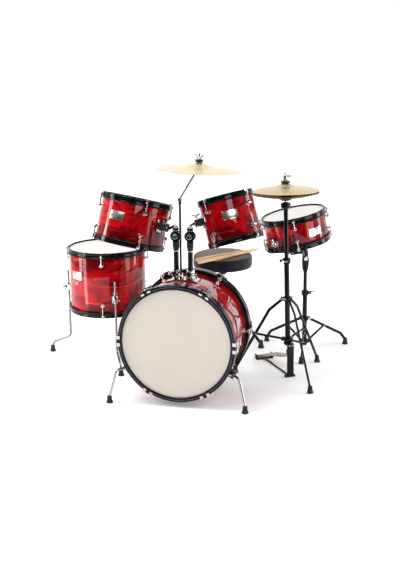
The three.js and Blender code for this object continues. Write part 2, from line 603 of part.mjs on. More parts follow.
// ---- bass pedal ---------------------------------------------------------------------
function pedal() {
  const { axleY, axleZ, heelY, heelZ, lean, shaft } = PEDAL;
  const upright = (side) => {
    const xs = [side * 34, side * 40].sort((a, b) => a - b);
    return block([xs[0], axleY - 10, 0], [xs[1], axleY + 10, axleZ + 12]);
  };
  const ear = (side) => {
    const xs = [side * 31, side * 36].sort((a, b) => a - b);
    return block([xs[0], heelY - 9, 2], [xs[1], heelY + 9, heelZ + 8]);
  };
  const rearFace = BASS.length / 2;
  const frame = join([block([-40, axleY - 20, 0], [40, axleY + 20, 5]),
    block([-14, axleY, 0], [14, heelY, 4]),
    block([-38, heelY - 16, 0], [38, heelY + 26, 4]), upright(-1), upright(1), ear(-1), ear(1),
    block([-16, rearFace - 24, 0], [16, axleY, 5]),
    block([-16, rearFace - 24, 0], [16, rearFace + 6, BASS.axisZ - BASS.hoop - GAP - 0.5])]);
  const axleBore = rod([-60, axleY, axleZ], [60, axleY, axleZ], 4 + RUN, 4 + RUN, ROUND);
  const heelBore = rod([-60, heelY, heelZ], [60, heelY, heelZ], 3.5 + RUN, 3.5 + RUN, ROUND);
  piece('pedal_frame', cut(frame, [axleBore, heelBore]), BLACK, kit);

  piece('pedal_footboard', join([strap([0, heelY, heelZ], [0, axleY + 26, 80], 54, 6),
    rod([-35, heelY, heelZ], [35, heelY, heelZ], 3.5, 3.5, ROUND)]), BRONZE, kit);

  const along = (d) => [0, axleY + d * Math.sin(rad(lean)), axleZ + d * Math.cos(rad(lean))];
  const across = (d) =>
    V(along(shaft)).add(V([0, Math.cos(rad(lean)), -Math.sin(rad(lean))]).multiplyScalar(d)).toArray();
  piece('pedal_beater', join([rod([-41, axleY, axleZ], [41, axleY, axleZ], 4, 4, ROUND),
    rod([-7, axleY, axleZ], [7, axleY, axleZ], 15, 15, ROUND), rod(along(0), along(shaft), 3.2),
    rod(across(-15), across(15), 19, 19, ROUND)]), CHROME, kit);
}

// ---- the whole kit ------------------------------------------------------------------
bassDrum();
spurs();
tomHolder();
tomPost('tom_post_left', POSTS.left);
tomPost('tom_post_right', POSTS.right);
toms();
crash();
floorTom();
hiHat();
const snareGroup = snareDrum();
snareBasket(snareGroup);
snareStand();
throne();
sticks();
pedal();

// The origin is on the floor, in the middle of the kit's outline.
kit.updateMatrixWorld(true);
const outline = new THREE.Box3().setFromObject(kit, true);
const centre = outline.getCenter(new THREE.Vector3());
kit.position.set(-centre.x, -centre.y, -outline.min.z);

const drumKit = new THREE.Group();
drumKit.add(kit);
export default drumKit;
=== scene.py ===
"""Looks of a junior acoustic drum kit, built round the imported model.

Shapes are made in millimetres, in the frame of the drum, stand or cymbal that they belong to.
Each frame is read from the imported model, and +Z is up.
"""
import json
import math

import bmesh
import bpy
from mathutils import Matrix, Vector

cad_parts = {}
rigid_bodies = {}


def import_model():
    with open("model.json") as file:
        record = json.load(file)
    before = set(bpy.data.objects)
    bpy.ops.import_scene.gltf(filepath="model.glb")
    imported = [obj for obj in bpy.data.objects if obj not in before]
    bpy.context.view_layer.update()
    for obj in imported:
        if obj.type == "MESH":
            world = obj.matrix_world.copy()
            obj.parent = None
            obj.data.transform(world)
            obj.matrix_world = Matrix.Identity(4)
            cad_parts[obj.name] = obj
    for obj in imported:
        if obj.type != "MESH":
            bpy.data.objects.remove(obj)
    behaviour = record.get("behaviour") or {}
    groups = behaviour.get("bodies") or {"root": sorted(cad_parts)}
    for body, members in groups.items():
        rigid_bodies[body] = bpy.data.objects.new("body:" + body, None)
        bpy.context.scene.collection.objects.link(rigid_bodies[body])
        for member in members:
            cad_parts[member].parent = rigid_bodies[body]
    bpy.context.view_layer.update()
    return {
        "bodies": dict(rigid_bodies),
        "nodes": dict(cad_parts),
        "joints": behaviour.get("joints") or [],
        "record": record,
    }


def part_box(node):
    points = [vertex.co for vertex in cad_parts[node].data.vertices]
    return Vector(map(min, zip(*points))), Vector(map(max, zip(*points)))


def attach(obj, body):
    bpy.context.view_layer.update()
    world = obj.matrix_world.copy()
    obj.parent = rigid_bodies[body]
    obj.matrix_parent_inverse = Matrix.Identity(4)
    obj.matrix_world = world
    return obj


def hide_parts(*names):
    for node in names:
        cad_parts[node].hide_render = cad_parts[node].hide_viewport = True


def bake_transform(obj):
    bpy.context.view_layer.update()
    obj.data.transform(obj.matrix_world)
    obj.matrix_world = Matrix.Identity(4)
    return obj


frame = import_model()
MM = 0.001
BODY_OF = {n: b for b, ns in frame["record"]["behaviour"]["bodies"].items() for n in ns}


# ---- frames read from the model ----
def centre(node):
    low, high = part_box(node)
    return (low + high) / 2


def spot(x, y, z):
    return ORIGIN + Vector((x, y, z)) * MM


BASS_AXIS = (centre("bass_front_head") + centre("bass_rear_head")) / 2
ORIGIN = Vector((BASS_AXIS.x, BASS_AXIS.y, 0))
UP = Vector((0, 0, 1))


def below(node):
    """The floor point under the middle of a node."""
    return Vector((*centre(node).xy, 0))


def upright(point, turn=0.0):
    return Matrix.Translation(point) @ Matrix.Rotation(math.radians(turn), 4, "Z")


def leaning(point, axis):
    return Matrix.Translation(point) @ UP.rotation_difference(axis).to_matrix().to_4x4()


def drum_frame(top_head, low_head, length):
    """+Z runs from the lower rim, at 0, to the upper rim, at length."""
    top, low = centre(top_head), centre(low_head)
    axis = (top - low).normalized()
    return leaning((top + low) / 2 - axis * length * MM / 2, axis)


CAMERA_AT = (952.5, -3486.9, 1324.3)
CAMERA_TURN, CAMERA_DOWN, CAMERA_ROLL = 14.416, 14.078, -0.693
LENS, SENSOR = 64.97, 36.0


def camera():
    data = bpy.data.cameras.new("camera")
    data.lens = LENS
    data.sensor_width = SENSOR
    data.sensor_fit = "AUTO"
    data.clip_end = 60
    cam = bpy.data.objects.new("camera", data)
    bpy.context.scene.collection.objects.link(cam)
    turn = Matrix.Rotation(math.radians(CAMERA_TURN), 4, "Z")
    tip = Matrix.Rotation(math.radians(90 - CAMERA_DOWN), 4, "X")
    roll = Matrix.Rotation(math.radians(CAMERA_ROLL), 4, "Z")
    cam.matrix_world = Matrix.Translation(spot(*CAMERA_AT)) @ turn @ tip @ roll
    bpy.context.scene.camera = cam


camera()


# ---- materials ----
class Nodes:
    """A node tree with short calls."""

    def __init__(self, name):
        self.material = bpy.data.materials.new(name)
        self.material.use_nodes = True
        self.tree = self.material.node_tree
        self.shader = self.tree.nodes["Principled BSDF"]

    def add(self, kind, **settings):
        node = self.tree.nodes.new(kind)
        for key, value in settings.items():
            if key in node.inputs:
                node.inputs[key].default_value = value
            else:
                setattr(node, key, value)
        return node

    def link(self, source, target):
        self.tree.links.new(source, target)

    def place(self, scale):
        """Object coordinates times a scale for each axis."""
        coords = self.add("ShaderNodeTexCoord")
        mapping = self.add("ShaderNodeMapping")
        mapping.inputs["Scale"].default_value = scale
        self.link(coords.outputs["Object"], mapping.inputs["Vector"])
        return mapping.outputs["Vector"]

    def noise(self, scale, detail=2.0, stretch=(1, 1, 1), roughness=0.5, distortion=0.0):
        node = self.add("ShaderNodeTexNoise", Scale=scale, Detail=detail, Roughness=roughness,
                        Distortion=distortion)
        self.link(self.place(stretch), node.inputs["Vector"])
        return node.outputs["Fac"]

    def ramp(self, value, stops):
        node = self.add("ShaderNodeValToRGB")
        elements = node.color_ramp.elements
        while len(elements) < len(stops):
            elements.new(0.5)
        for element, (at, colour) in zip(elements, stops):
            element.position = at
            element.color = (*colour, 1)
        self.link(value, node.inputs["Fac"])
        return node.outputs["Color"]

    def span(self, value, low, high, start=0.0, end=1.0):
        """Low to high as the value goes from start to end."""
        node = self.add("ShaderNodeMapRange")
        node.inputs["From Min"].default_value = start
        node.inputs["From Max"].default_value = end
        node.inputs["To Min"].default_value = low
        node.inputs["To Max"].default_value = high
        self.link(value, node.inputs["Value"])
        return node.outputs["Result"]

    def maths(self, operation, value, by=0.5):
        node = self.add("ShaderNodeMath", operation=operation)
        self.link(value, node.inputs[0])
        node.inputs[1].default_value = by
        return node.outputs["Value"]

    def bump(self, value, strength, distance):
        node = self.add("ShaderNodeBump", Strength=strength, Distance=distance)
        self.link(value, node.inputs["Height"])
        self.link(node.outputs["Normal"], self.shader.inputs["Normal"])

    def set(self, **sockets):
        for name, value in sockets.items():
            self.shader.inputs[name.replace("_", " ")].default_value = value

    def colour(self, output):
        self.link(output, self.shader.inputs["Base Color"])

    def rough(self, output):
        self.link(output, self.shader.inputs["Roughness"])


def wrap_red(name="red_pearl_wrap", coat=0.75, coat_ior=1.5):
    """Red pearl film: a dark and bright swirl round the drum, with thin orange streaks painted in as
    highlights, under a clear coat.
    """
    m = Nodes(name)
    swirl = m.noise(3.6, 3.0, (1.0, 1.0, 3.0), 0.52, 1.9)
    pearl = m.ramp(swirl, [(0.30, (0.075, 0.0, 0.004)), (0.42, (0.15, 0.001, 0.005)),
                           (0.49, (0.34, 0.002, 0.006)), (0.56, (0.46, 0.004, 0.007)),
                           (0.62, (0.30, 0.002, 0.006)), (0.74, (0.11, 0.0, 0.005))])
    # Painted highlights: where this noise is high, thin orange streaks are mixed into the base colour.
    painted_glint_noise = m.noise(7.0, 3.0, (1.0, 1.0, 4.0), 0.55, 1.4)
    painted_glint_mask = m.ramp(painted_glint_noise, [(0.60, (0, 0, 0)), (0.72, (1, 1, 1))])
    mix = m.add("ShaderNodeMix", data_type="RGBA")
    # A colour mix has its two colours at inputs 6 and 7, and its result at output 2.
    m.link(painted_glint_mask, mix.inputs["Factor"])
    m.link(pearl, mix.inputs[6])
    mix.inputs[7].default_value = (0.86, 0.05, 0.012, 1)
    m.colour(mix.outputs[2])
    m.rough(m.span(m.noise(40.0, 2.0), 0.26, 0.40))
    m.set(Coat_Weight=coat, Coat_Roughness=0.015, Coat_IOR=coat_ior, Specular_IOR_Level=0.05)
    return m.material


def chrome(name="chrome", base=(0.50, 0.485, 0.485), low=0.05, high=0.15):
    m = Nodes(name)
    smudge = m.noise(55.0, 3.0)
    m.colour(m.ramp(smudge, [(0.3, tuple(c * 0.9 for c in base)), (0.7, base)]))
    m.rough(m.span(smudge, low, high))
    m.set(Metallic=1.0)
    return m.material


def gloss_black(name="gloss_black", level=0.006, low=0.14, high=0.30):
    m = Nodes(name)
    dust = m.noise(80.0, 4.0)
    dark, light = (level, level, level * 1.4), (level * 2, level * 2, level * 3.0)
    m.colour(m.ramp(dust, [(0.3, dark), (0.75, light)]))
    m.rough(m.span(dust, low, high))
    m.bump(m.noise(420.0, 2.0), 0.04, 0.0004)
    m.set(Coat_Weight=0.12, Coat_Roughness=0.05, Specular_IOR_Level=0.22)
    return m.material


def film(name, light, shade):
    m = Nodes(name)
    cloud = m.noise(6.0, 3.0)
    m.colour(m.ramp(cloud, [(0.3, shade), (0.7, light)]))
    m.rough(m.span(m.noise(160.0, 2.0), 0.42, 0.60))
    m.bump(m.noise(900.0, 2.0), 0.10, 0.0003)
    m.set(Specular_IOR_Level=0.35)
    return m.material


def lathed_brass(name, dark, light):
    """Brass with tonal bands and fine turned grooves round the object's Z axis."""
    m = Nodes(name)
    radius = m.add("ShaderNodeVectorMath", operation="LENGTH")
    m.link(m.place((1, 1, 0)), radius.inputs[0])
    wave = m.maths("SINE", m.maths("MULTIPLY", radius.outputs["Value"], 2600.0))
    ring = m.add("ShaderNodeCombineXYZ")
    m.link(m.maths("MULTIPLY", radius.outputs["Value"], 160.0), ring.inputs["X"])
    bands = m.add("ShaderNodeTexNoise", Scale=1.0, Detail=4.0)
    m.link(ring.outputs["Vector"], bands.inputs["Vector"])
    m.colour(m.ramp(bands.outputs["Fac"], [(0.3, dark), (0.7, light)]))
    m.rough(m.span(bands.outputs["Fac"], 0.30, 0.46))
    m.bump(wave, 0.25, 0.0003)
    m.set(Metallic=0.9)
    return m.material


def cast_bronze():
    m = Nodes("cast_bronze_grey")
    mottled = m.noise(70.0, 4.0)
    m.colour(m.ramp(mottled, [(0.3, (0.30, 0.27, 0.23)), (0.7, (0.46, 0.42, 0.36))]))
    m.rough(m.span(mottled, 0.34, 0.52))
    m.bump(m.noise(380.0, 3.0), 0.18, 0.0004)
    m.set(Metallic=0.85)
    return m.material


def vinyl(name, dark, light, rough):
    m = Nodes(name)
    grain = m.add("ShaderNodeTexVoronoi", Scale=520.0)
    m.link(m.place((1, 1, 1)), grain.inputs["Vector"])
    worn = m.noise(12.0, 4.0)
    m.colour(m.ramp(worn, [(0.3, dark), (0.75, light)]))
    m.rough(m.span(worn, rough - 0.08, rough + 0.08))
    m.bump(grain.outputs["Distance"], 0.35, 0.0006)
    m.set(Sheen_Weight=0.05, Specular_IOR_Level=0.25)
    return m.material


def hickory():
    m = Nodes("stick_wood")
    grain = m.noise(26.0, 6.0, (0.12, 3.0, 3.0), 0.6, 0.3)
    m.colour(m.ramp(grain, [(0.3, (0.52, 0.31, 0.15)), (0.5, (0.74, 0.50, 0.29)), (0.7, (0.82, 0.62, 0.40))]))
    m.rough(m.span(grain, 0.34, 0.48))
    m.bump(grain, 0.12, 0.0004)
    m.set(Coat_Weight=0.2, Coat_Roughness=0.2)
    return m.material


def rubber():
    m = Nodes("rubber")
    m.colour(m.ramp(m.noise(60.0, 3.0), [(0.3, (0.012, 0.012, 0.016)), (0.8, (0.035, 0.035, 0.042))]))
    m.rough(m.span(m.noise(200.0, 2.0), 0.58, 0.75))
    m.bump(m.noise(700.0, 2.0), 0.2, 0.0003)
    return m.material


def felt(name, scale, dark, light, **sheen):
    m = Nodes(name)
    fibre = m.noise(scale, 5.0)
    m.colour(m.ramp(fibre, [(0.3, dark), (0.8, light)]))
    m.rough(m.span(fibre, 0.85, 1.0))
    m.bump(fibre, 0.8, 0.0006)
    m.set(**sheen)
    return m.material


def studio_floor():
    m = Nodes("studio_floor")
    m.colour(m.ramp(m.noise(1.5, 2.0), [(0.3, (0.80, 0.80, 0.80)), (0.7, (0.82, 0.82, 0.82))]))
    coords = m.add("ShaderNodeTexCoord")
    away = m.add("ShaderNodeVectorMath", operation="LENGTH")
    m.link(coords.outputs["Object"], away.inputs[0])
    glow = m.span(away.outputs["Value"], 0.12, 0.75, 0.7, 1.9)
    m.link(glow, m.shader.inputs["Emission Strength"])
    m.set(Roughness=0.9, Specular_IOR_Level=0.1, Emission_Color=(1, 1, 1, 1))
    return m.material


RED = wrap_red()
GLOSSY_RED = wrap_red("red_pearl_wrap_glossier", 1.0, 1.9)
CHROME = chrome()
# The floor tom's legs are chrome; this darker copy paints in the dark reflections that make them show grey.
SHADED_LEG_CHROME = chrome("leg_chrome_painted_dark", (0.27, 0.262, 0.266), 0.12, 0.22)
# The crash arm: rougher steel, which is real, with a darker brown-grey tint that paints in the dark
# surroundings it reflects.
ARM_STEEL = chrome("dull_steel_painted_reflection", (0.30, 0.25, 0.21), 0.22, 0.34)
DARK_STEEL = chrome("dark_steel", (0.055, 0.040, 0.048), 0.16, 0.28)
BADGE = chrome("brushed_badge", (0.60, 0.60, 0.62), 0.20, 0.34)
BLACK = gloss_black()
HOOP = gloss_black("hoop_black", 0.004, 0.10, 0.20)
# A lighter grey ring for the bass hoop's top groove: a painted highlight standing in for the bevel's
# reflection.
BEVEL_HIGHLIGHT_PAINT = gloss_black("hoop_painted_bevel_highlight", 0.07, 0.25, 0.4)
WHITE = film("coated_white", (0.66, 0.645, 0.615), (0.62, 0.605, 0.575))
CREAM = film("bass_cream", (0.67, 0.62, 0.56), (0.64, 0.59, 0.53))
BRASS = lathed_brass("lathed_brass", (0.54, 0.42, 0.25), (0.68, 0.56, 0.37))
PALE_BRASS = lathed_brass("pale_brass", (0.66, 0.55, 0.37), (0.80, 0.70, 0.50))
# A darker copy of the brass for the bottom hi-hat cymbal: painted shade and dark reflection on its underside,
# not ageing.
SHADED_UNDERSIDE_BRASS = lathed_brass("brass_painted_dark_underside", (0.20, 0.11, 0.07), (0.34, 0.21, 0.13))
BRONZE = cast_bronze()
SIDE_VINYL = vinyl("side_vinyl", (0.007, 0.007, 0.010), (0.014, 0.014, 0.019), 0.45)
TOP_VINYL = vinyl("top_vinyl", (0.13, 0.112, 0.090), (0.17, 0.148, 0.120), 0.72)
WOOD = hickory()
RUBBER = rubber()
FELT = felt("felt", 900.0, (0.008, 0.008, 0.009), (0.045, 0.045, 0.050),
            Sheen_Weight=0.5, Sheen_Roughness=0.5)
WHITE_FELT = felt("white_felt", 700.0, (0.62, 0.60, 0.55), (0.80, 0.78, 0.72), Sheen_Weight=0.4)


# ---- shapes ----
def rounded(points, radius, steps=3, closed=True):
    """A polygon or path of 2-D or 3-D points with an arc-like curve at each corner."""
    pts = [Vector(p) for p in points]
    out = []
    count = len(pts)
    for i, corner in enumerate(pts):
        if not closed and i in (0, count - 1):
            out.append(corner)
            continue
        before, after = pts[i - 1] - corner, pts[(i + 1) % count] - corner
        reach = min(radius, before.length * 0.45, after.length * 0.45)
        start, end = corner + before.normalized() * reach, corner + after.normalized() * reach
        for k in range(steps + 1):
            t = k / steps
            out.append(start * (1 - t) ** 2 + corner * 2 * t * (1 - t) + end * t * t)
    return out


def polar(r, deg, z=0.0):
    return Vector((r * math.cos(math.radians(deg)), r * math.sin(math.radians(deg)), z))


def spin(deg):
    return Matrix.Rotation(math.radians(deg), 4, "Z")


Z_TO_X = Matrix.Rotation(math.radians(90), 4, "Y")


def aim(a, b):
    """A frame at a with +Z towards b."""
    return leaning(Vector(a), (Vector(b) - Vector(a)).normalized())


def level_frame(a, b):
    """A frame at a with +X towards b and +Y level, and the distance."""
    a, b = Vector(a), Vector(b)
    x = (b - a).normalized()
    y = UP.cross(x).normalized()
    z = x.cross(y)
    return Matrix.Translation(a) @ Matrix((x, y, z)).transposed().to_4x4(), (b - a).length


def around(count, first):
    return [first + i * 360 / count for i in range(count)]


class Shape:
    """Solids in millimetres that become one object. Each solid takes one of the shape's materials."""

    def __init__(self, *materials):
        self.bm = bmesh.new()
        self.materials = materials
        self.place = Matrix.Identity(4)

    def take(self, points, faces, material, matrix):
        index = self.materials.index(material or self.materials[0])
        full = self.place @ (matrix or Matrix.Identity(4))
        verts = [self.bm.verts.new(full @ Vector(p)) for p in points]
        for face in faces:
            ring = [verts[i] for i in face]
            if len(set(ring)) < 3:
                continue
            made = self.bm.faces.new(ring)
            made.material_index = index
            made.smooth = True

    def absorb(self, work, material, matrix):
        """Takes all of a finished bmesh and frees it."""
        work.verts.index_update()
        points = [v.co.copy() for v in work.verts]
        faces = [[v.index for v in f.verts] for f in work.faces]
        self.take(points, faces, material, matrix)
        work.free()

    def lathe(self, profile, material=None, matrix=None, facets=72, start=0.0, sweep=360.0):
        """Turns (radius, height) points about +Z. A part turn is closed by flat ends."""
        whole = sweep >= 360
        turns = facets if whole else facets + 1
        points, rings = [], []
        for r, z in profile:
            if r < 1e-6:
                rings.append([len(points)] * turns)
                points.append((0, 0, z))
            else:
                rings.append([len(points) + k for k in range(turns)])
                points += [polar(r, start + sweep * k / facets, z) for k in range(turns)]
        closed = profile[0][0] > 1e-6 or profile[-1][0] > 1e-6
        count = len(profile)
        faces = []
        for i in range(count if closed else count - 1):
            a, b = rings[i], rings[(i + 1) % count]
            for k in range(facets):
                n = (k + 1) % turns
                face = list(dict.fromkeys([a[k], a[n], b[n], b[k]]))
                if len(face) > 2:
                    faces.append(face)
        if not whole:
            faces += [[ring[0] for ring in rings], [ring[-1] for ring in reversed(rings)]]
        self.take(points, faces, material, matrix)

    def cyl(self, a, b, radius, end, material=None, facets=24, edge=0.5):
        """A round taper with eased ends."""
        length = (Vector(b) - Vector(a)).length
        e = min(edge, length * 0.3, radius * 0.4, end * 0.4)
        profile = [(0, 0), (radius - e, 0), (radius, e), (end, length - e), (end - e, length), (0, length)]
        self.lathe(profile, material, aim(a, b), facets)

    def pin(self, a, b, radius, material, facets=24, edge=0.5):
        """A round bar with eased ends; six facets make a hexagon."""
        self.cyl(a, b, radius, radius, material, facets, edge)

    def ring(self, inner, outer, low, high, material=None, matrix=None, facets=72, edge=0.5):
        profile = rounded([(outer, low), (outer, high), (inner, high), (inner, low)], edge, 2)
        self.lathe(profile, material, matrix, facets)

    def tube(self, path, radius, material=None, bend=12.0, sides=16):
        """A round bar along a path with curved bends and flat ends."""
        line = rounded(path, bend, 6, closed=False)
        side = None
        points, faces = [], []
        for i, p in enumerate(line):
            along = (line[min(i + 1, len(line) - 1)] - line[max(i - 1, 0)]).normalized()
            if side is None:
                side = along.orthogonal().normalized()
            side = (side - along * side.dot(along)).normalized()
            other = along.cross(side)
            for k in range(sides):
                angle = 2 * math.pi * k / sides
                points.append(p + (side * math.cos(angle) + other * math.sin(angle)) * radius)
        for i in range(len(line) - 1):
            for k in range(sides):
                n = (k + 1) % sides
                faces.append([i * sides + k, i * sides + n, (i + 1) * sides + n, (i + 1) * sides + k])
        faces.append(list(range(sides)))
        faces.append([len(points) - 1 - k for k in range(sides)])
        self.take(points, faces, material, None)

    def block(self, low, high, material=None, matrix=None, edge=1.0):
        """A box with eased edges."""
        size = Vector(high) - Vector(low)
        mid = (Vector(high) + Vector(low)) / 2
        work = bmesh.new()
        stretch = Matrix.Translation(mid) @ Matrix.Diagonal((*size, 1))
        bmesh.ops.create_cube(work, size=1.0, matrix=stretch)
        ease = min(edge, min(size) * 0.3)
        bmesh.ops.bevel(work, geom=work.edges[:], offset=ease, segments=2, affect="EDGES", profile=0.5)
        self.absorb(work, material, matrix)

    def bar(self, a, b, width, thick, material=None, edge=1.0, over=0.0):
        """A flat bar between two points, its width kept level."""
        frame, length = level_frame(a, b)
        low, high = (-over, -width / 2, -thick / 2), (length + over, width / 2, thick / 2)
        self.block(low, high, material, frame, edge)

    def plate(self, outline, low, high, material=None, matrix=None, edge=0.6):
        """A flat outline in x and y, pushed up from low to high, with eased edges."""
        work = bmesh.new()
        face = work.faces.new([work.verts.new((p[0], p[1], low)) for p in outline])
        made = bmesh.ops.extrude_face_region(work, geom=[face])
        top = [v for v in made["geom"] if isinstance(v, bmesh.types.BMVert)]
        bmesh.ops.translate(work, verts=top, vec=(0, 0, high - low))
        if edge:
            rims = [e for e in work.edges if abs(e.verts[0].co.z - e.verts[1].co.z) < 1e-6]
            bmesh.ops.bevel(work, geom=rims, offset=edge, segments=2, affect="EDGES", profile=0.5)
        self.absorb(work, material, matrix)

    def ball(self, at, radius, material=None, facets=20):
        steps = 8
        angles = [math.pi * k / steps for k in range(1, steps)]
        middle = [(radius * math.sin(a), -radius * math.cos(a)) for a in angles]
        profile = [(0, -radius), *middle, (0, radius)]
        self.lathe(profile, material, Matrix.Translation(at), facets)

    def turn(self, matrix):
        """Turns all of it, so that a leaning piece's own box can lie along the room's axes."""
        self.bm.transform(matrix)

    def finish(self, name, place, node=None, bridge=None, sharp=38):
        """Makes the object. It rides on its node's body and replaces the node, unless it is a bridge over a
        joint, given as two bodies and the ends of the span, which are not used: a bridge is baked in place on
        no body. Edges sharper than `sharp` degrees stay crisp."""
        bmesh.ops.recalc_face_normals(self.bm, faces=self.bm.faces[:])
        for edge in self.bm.edges:
            if len(edge.link_faces) == 2 and edge.calc_face_angle(0) > math.radians(sharp):
                edge.smooth = False
        self.bm.transform(Matrix.Scale(MM, 4))
        mesh = bpy.data.meshes.new(name)
        self.bm.to_mesh(mesh)
        self.bm.free()
        for material in self.materials:
            mesh.materials.append(material)
        piece = bpy.data.objects.new(name, mesh)
        bpy.context.scene.collection.objects.link(piece)
        piece.matrix_world = place
        if bridge:
            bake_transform(piece)
        else:
            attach(piece, BODY_OF[node])
            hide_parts(node)
        return piece


# ---- small fittings ----
def wing_screw(shape, at, axis, span=26.0, length=12.0):
    """A screw along axis with a two-eared head."""
    at, axis = Vector(at), Vector(axis).normalized()
    side = axis.cross(UP if abs(axis.z) < 0.9 else Vector((0, 1, 0))).normalized()
    head = at + axis * length
    shape.pin(at, head, 2.6, CHROME, 14)
    shape.pin(head - axis * 3, head + axis * 5, 4.6, CHROME, 16)
    for way in (-1, 1):
        tip = head + axis * 6 + side * way * span / 2
        shape.cyl(head + axis * 1.5, tip, 3.2, 2.2, CHROME, 12)
        shape.ball(tip, 3.2, CHROME, 12)


def rubber_foot(shape, at, height=28.0, wide=12.0, narrow=7.5):
    """A ribbed cone whose flat base is at `at`."""
    base = [(0, 0), (wide - 1.2, 0), (wide, 1.4), (wide, 5), (wide - 1.8, 7), (wide - 2.4, 12)]
    collar = [(narrow + 0.6, height - 7), (narrow + 1.2, height - 6), (narrow + 1.2, height - 3),
              (narrow, height - 1.5), (narrow - 1.5, height), (0, height)]
    shape.lathe(base + collar, RUBBER, Matrix.Translation(Vector(at)), 32)


# ---- drums ----
INCH = 25.4
GAP = 0.3  # air between touching pieces
RECESS = 6.0  # head's film below the hoop's rim
# Lugs are angles round the drum. A badge is its angle, level, width and height, and a bracket is the
# angle and level at which an arm enters. Levels are above the bottom rim.
DRUMS = {
    "bass": dict(shell=8 * INCH, hoop=216.0, length=286.0, lugs=around(6, 0), badge=None,
                 hoop_height=36.0, lug_drop=65.0, ends=("front", "rear")),
    "tom_left": dict(shell=5 * INCH, hoop=132.5, length=178.0, lugs=around(4, -57.6),
                     badge=(-102.6, 104, 58, 33), bracket=(-22, 96)),
    "tom_right": dict(shell=4 * INCH - 1, hoop=106.0, length=180.0, lugs=around(4, -29.6),
                      badge=(-74.6, 104, 58, 33), bracket=(212, 104)),
    "floor_tom": dict(shell=6 * INCH + 1, hoop=162.0, length=263.0, lugs=around(4, 10.7),
                      badge=(235.7, 163, 58, 34)),
    "snare": dict(shell=5 * INCH, hoop=135.5, length=133.0, lugs=around(4, -80.6),
                  badge=(-43.6, 60, 58, 32), hoop_height=24.0, lug_drop=42.0),
}
for spec in DRUMS.values():
    spec.setdefault("hoop_height", 22.0)
    spec.setdefault("lug_drop", 50.0)
    spec.setdefault("ends", ("top", "bottom"))


SEAM_FROM_LUG = 200.0  # degrees from the first lug to the wrap's seam


def drum_place(name):
    d = DRUMS[name]
    top_head, low_head = (f"{name}_{end}_head" for end in d["ends"])
    return drum_frame(top_head, low_head, d["length"])


def mirrored(profile, length):
    return [(r, length - z) for r, z in profile][::-1]


def thin_hoop(d):
    skirt, band, low = d["shell"] + 2.4, d["shell"] + 4.2, d["length"] - d["hoop_height"]
    top, hoop, lip = d["length"], d["hoop"], d["length"] - RECESS + GAP
    outline = [(skirt, low), (hoop, low), (hoop, low + 2.6), (band + 0.4, low + 4.6), (band, top - 9),
               (band + 0.6, top - 3), (band - 0.4, top), (d["shell"] + 0.6, top), (d["shell"] - 1, top - 2),
               (d["shell"] - 0.6, lip), (skirt, lip)]
    return rounded(outline, 1.3, 3)


def thick_hoop(d):
    skirt, low = d["shell"] + 3.4, d["length"] - d["hoop_height"]
    top, hoop, lip = d["length"], d["hoop"], d["length"] - RECESS + GAP
    outline = [(skirt, low), (hoop, low), (hoop, top - 3), (hoop - 3, top), (hoop - 6.4, top),
               (hoop - 6.8, top - 1.2), (hoop - 9.6, top - 1.2), (hoop - 10, top), (d["shell"] - 2, top),
               (d["shell"] - 4, top - 2), (d["shell"] - 4, lip), (skirt, lip)]
    return rounded(outline, 1.6, 3)


def head_film(d, ring):
    top = d["length"] - RECESS
    shell = d["shell"]
    return [(0, top - 0.5), (shell - 6, top - 0.5), (shell + GAP, top - 1.6), (shell + GAP, top - 9.8),
            (shell + ring, top - 9.8), (shell + ring, top - 1.2), (shell + 0.8, top - 0.3), (shell - 3, top),
            (shell * 0.8, top), (shell * 0.4, top), (0, top)]


def small_lug(shape, d, deg, z, way):
    """A turret on the shell with a cross barrel that takes the tension rod."""
    r, rod_r = d["shell"], d["rod_r"]
    shape.place = spin(deg)
    shape.cyl((r - 1, 0, z), (r + 2.4, 0, z), 8.2, 7.4, CHROME, 28)
    shape.cyl((r + 2, 0, z), (rod_r - 3, 0, z), 4.4, 3.6, CHROME, 20)
    shape.pin((rod_r, -8, z), (rod_r, 8, z), 4.6, CHROME, 24, 1.6)
    shape.pin((rod_r, 0, z - way * 5), (rod_r, 0, z + way * 8), 3.9, CHROME, 6, 0.4)
    shape.place = Matrix.Identity(4)


def hoop_claw(shape, d, deg, way):
    """A chrome hook over the rim of a pressed hoop, its square-headed rod and its washer."""
    side = (lambda z: z) if way > 0 else (lambda z: d["length"] - z)
    band, rod_r, top = d["shell"] + 4.6, d["rod_r"], d["length"]
    line = [(d["shell"] - 2.0, top - 3.5), (d["shell"] - 1.4, top + 0.9), (band + 1.2, top + 0.9),
            (band + 1.4, top - 12.5), (rod_r + 4.5, top - 12.5)]
    path = rounded(line, 1.8, 3, closed=False)
    thick, half = 1.1, 5.5
    outer, inner = [], []
    for i, p in enumerate(path):
        along = (path[min(i + 1, len(path) - 1)] - path[max(i - 1, 0)]).normalized()
        across = Vector((along.y, -along.x)) * thick
        outer.append(p - across)
        inner.append(p + across)
    loop = outer + inner[::-1]
    count = len(loop)
    points = [(p.x, y, side(p.y)) for y in (-half, half) for p in loop]
    faces = [[i, (i + 1) % count, count + (i + 1) % count, count + i] for i in range(count)]
    for base in (0, count):
        last = base + count - 1
        faces += [[base + i, base + i + 1, last - 1 - i, last - i] for i in range(len(path) - 1)]
    shape.take(points, faces, CHROME, spin(deg))
    shape.place = spin(deg)
    low, high = sorted((side(top - 11), side(top - 5)))
    shape.block((rod_r - 3, -3, low), (rod_r + 3, 3, high), CHROME, edge=0.7)
    low, high = sorted((side(top - 11.6), side(top - 10.4)))
    shape.pin((rod_r, 0, low), (rod_r, 0, high), 5.2, CHROME, 24)
    rod_end = side(top - d["lug_drop"] + 5.4)
    shape.pin((rod_r, 0, side(top - 12)), (rod_r, 0, rod_end), 2.5, CHROME, 14)
    shape.place = Matrix.Identity(4)


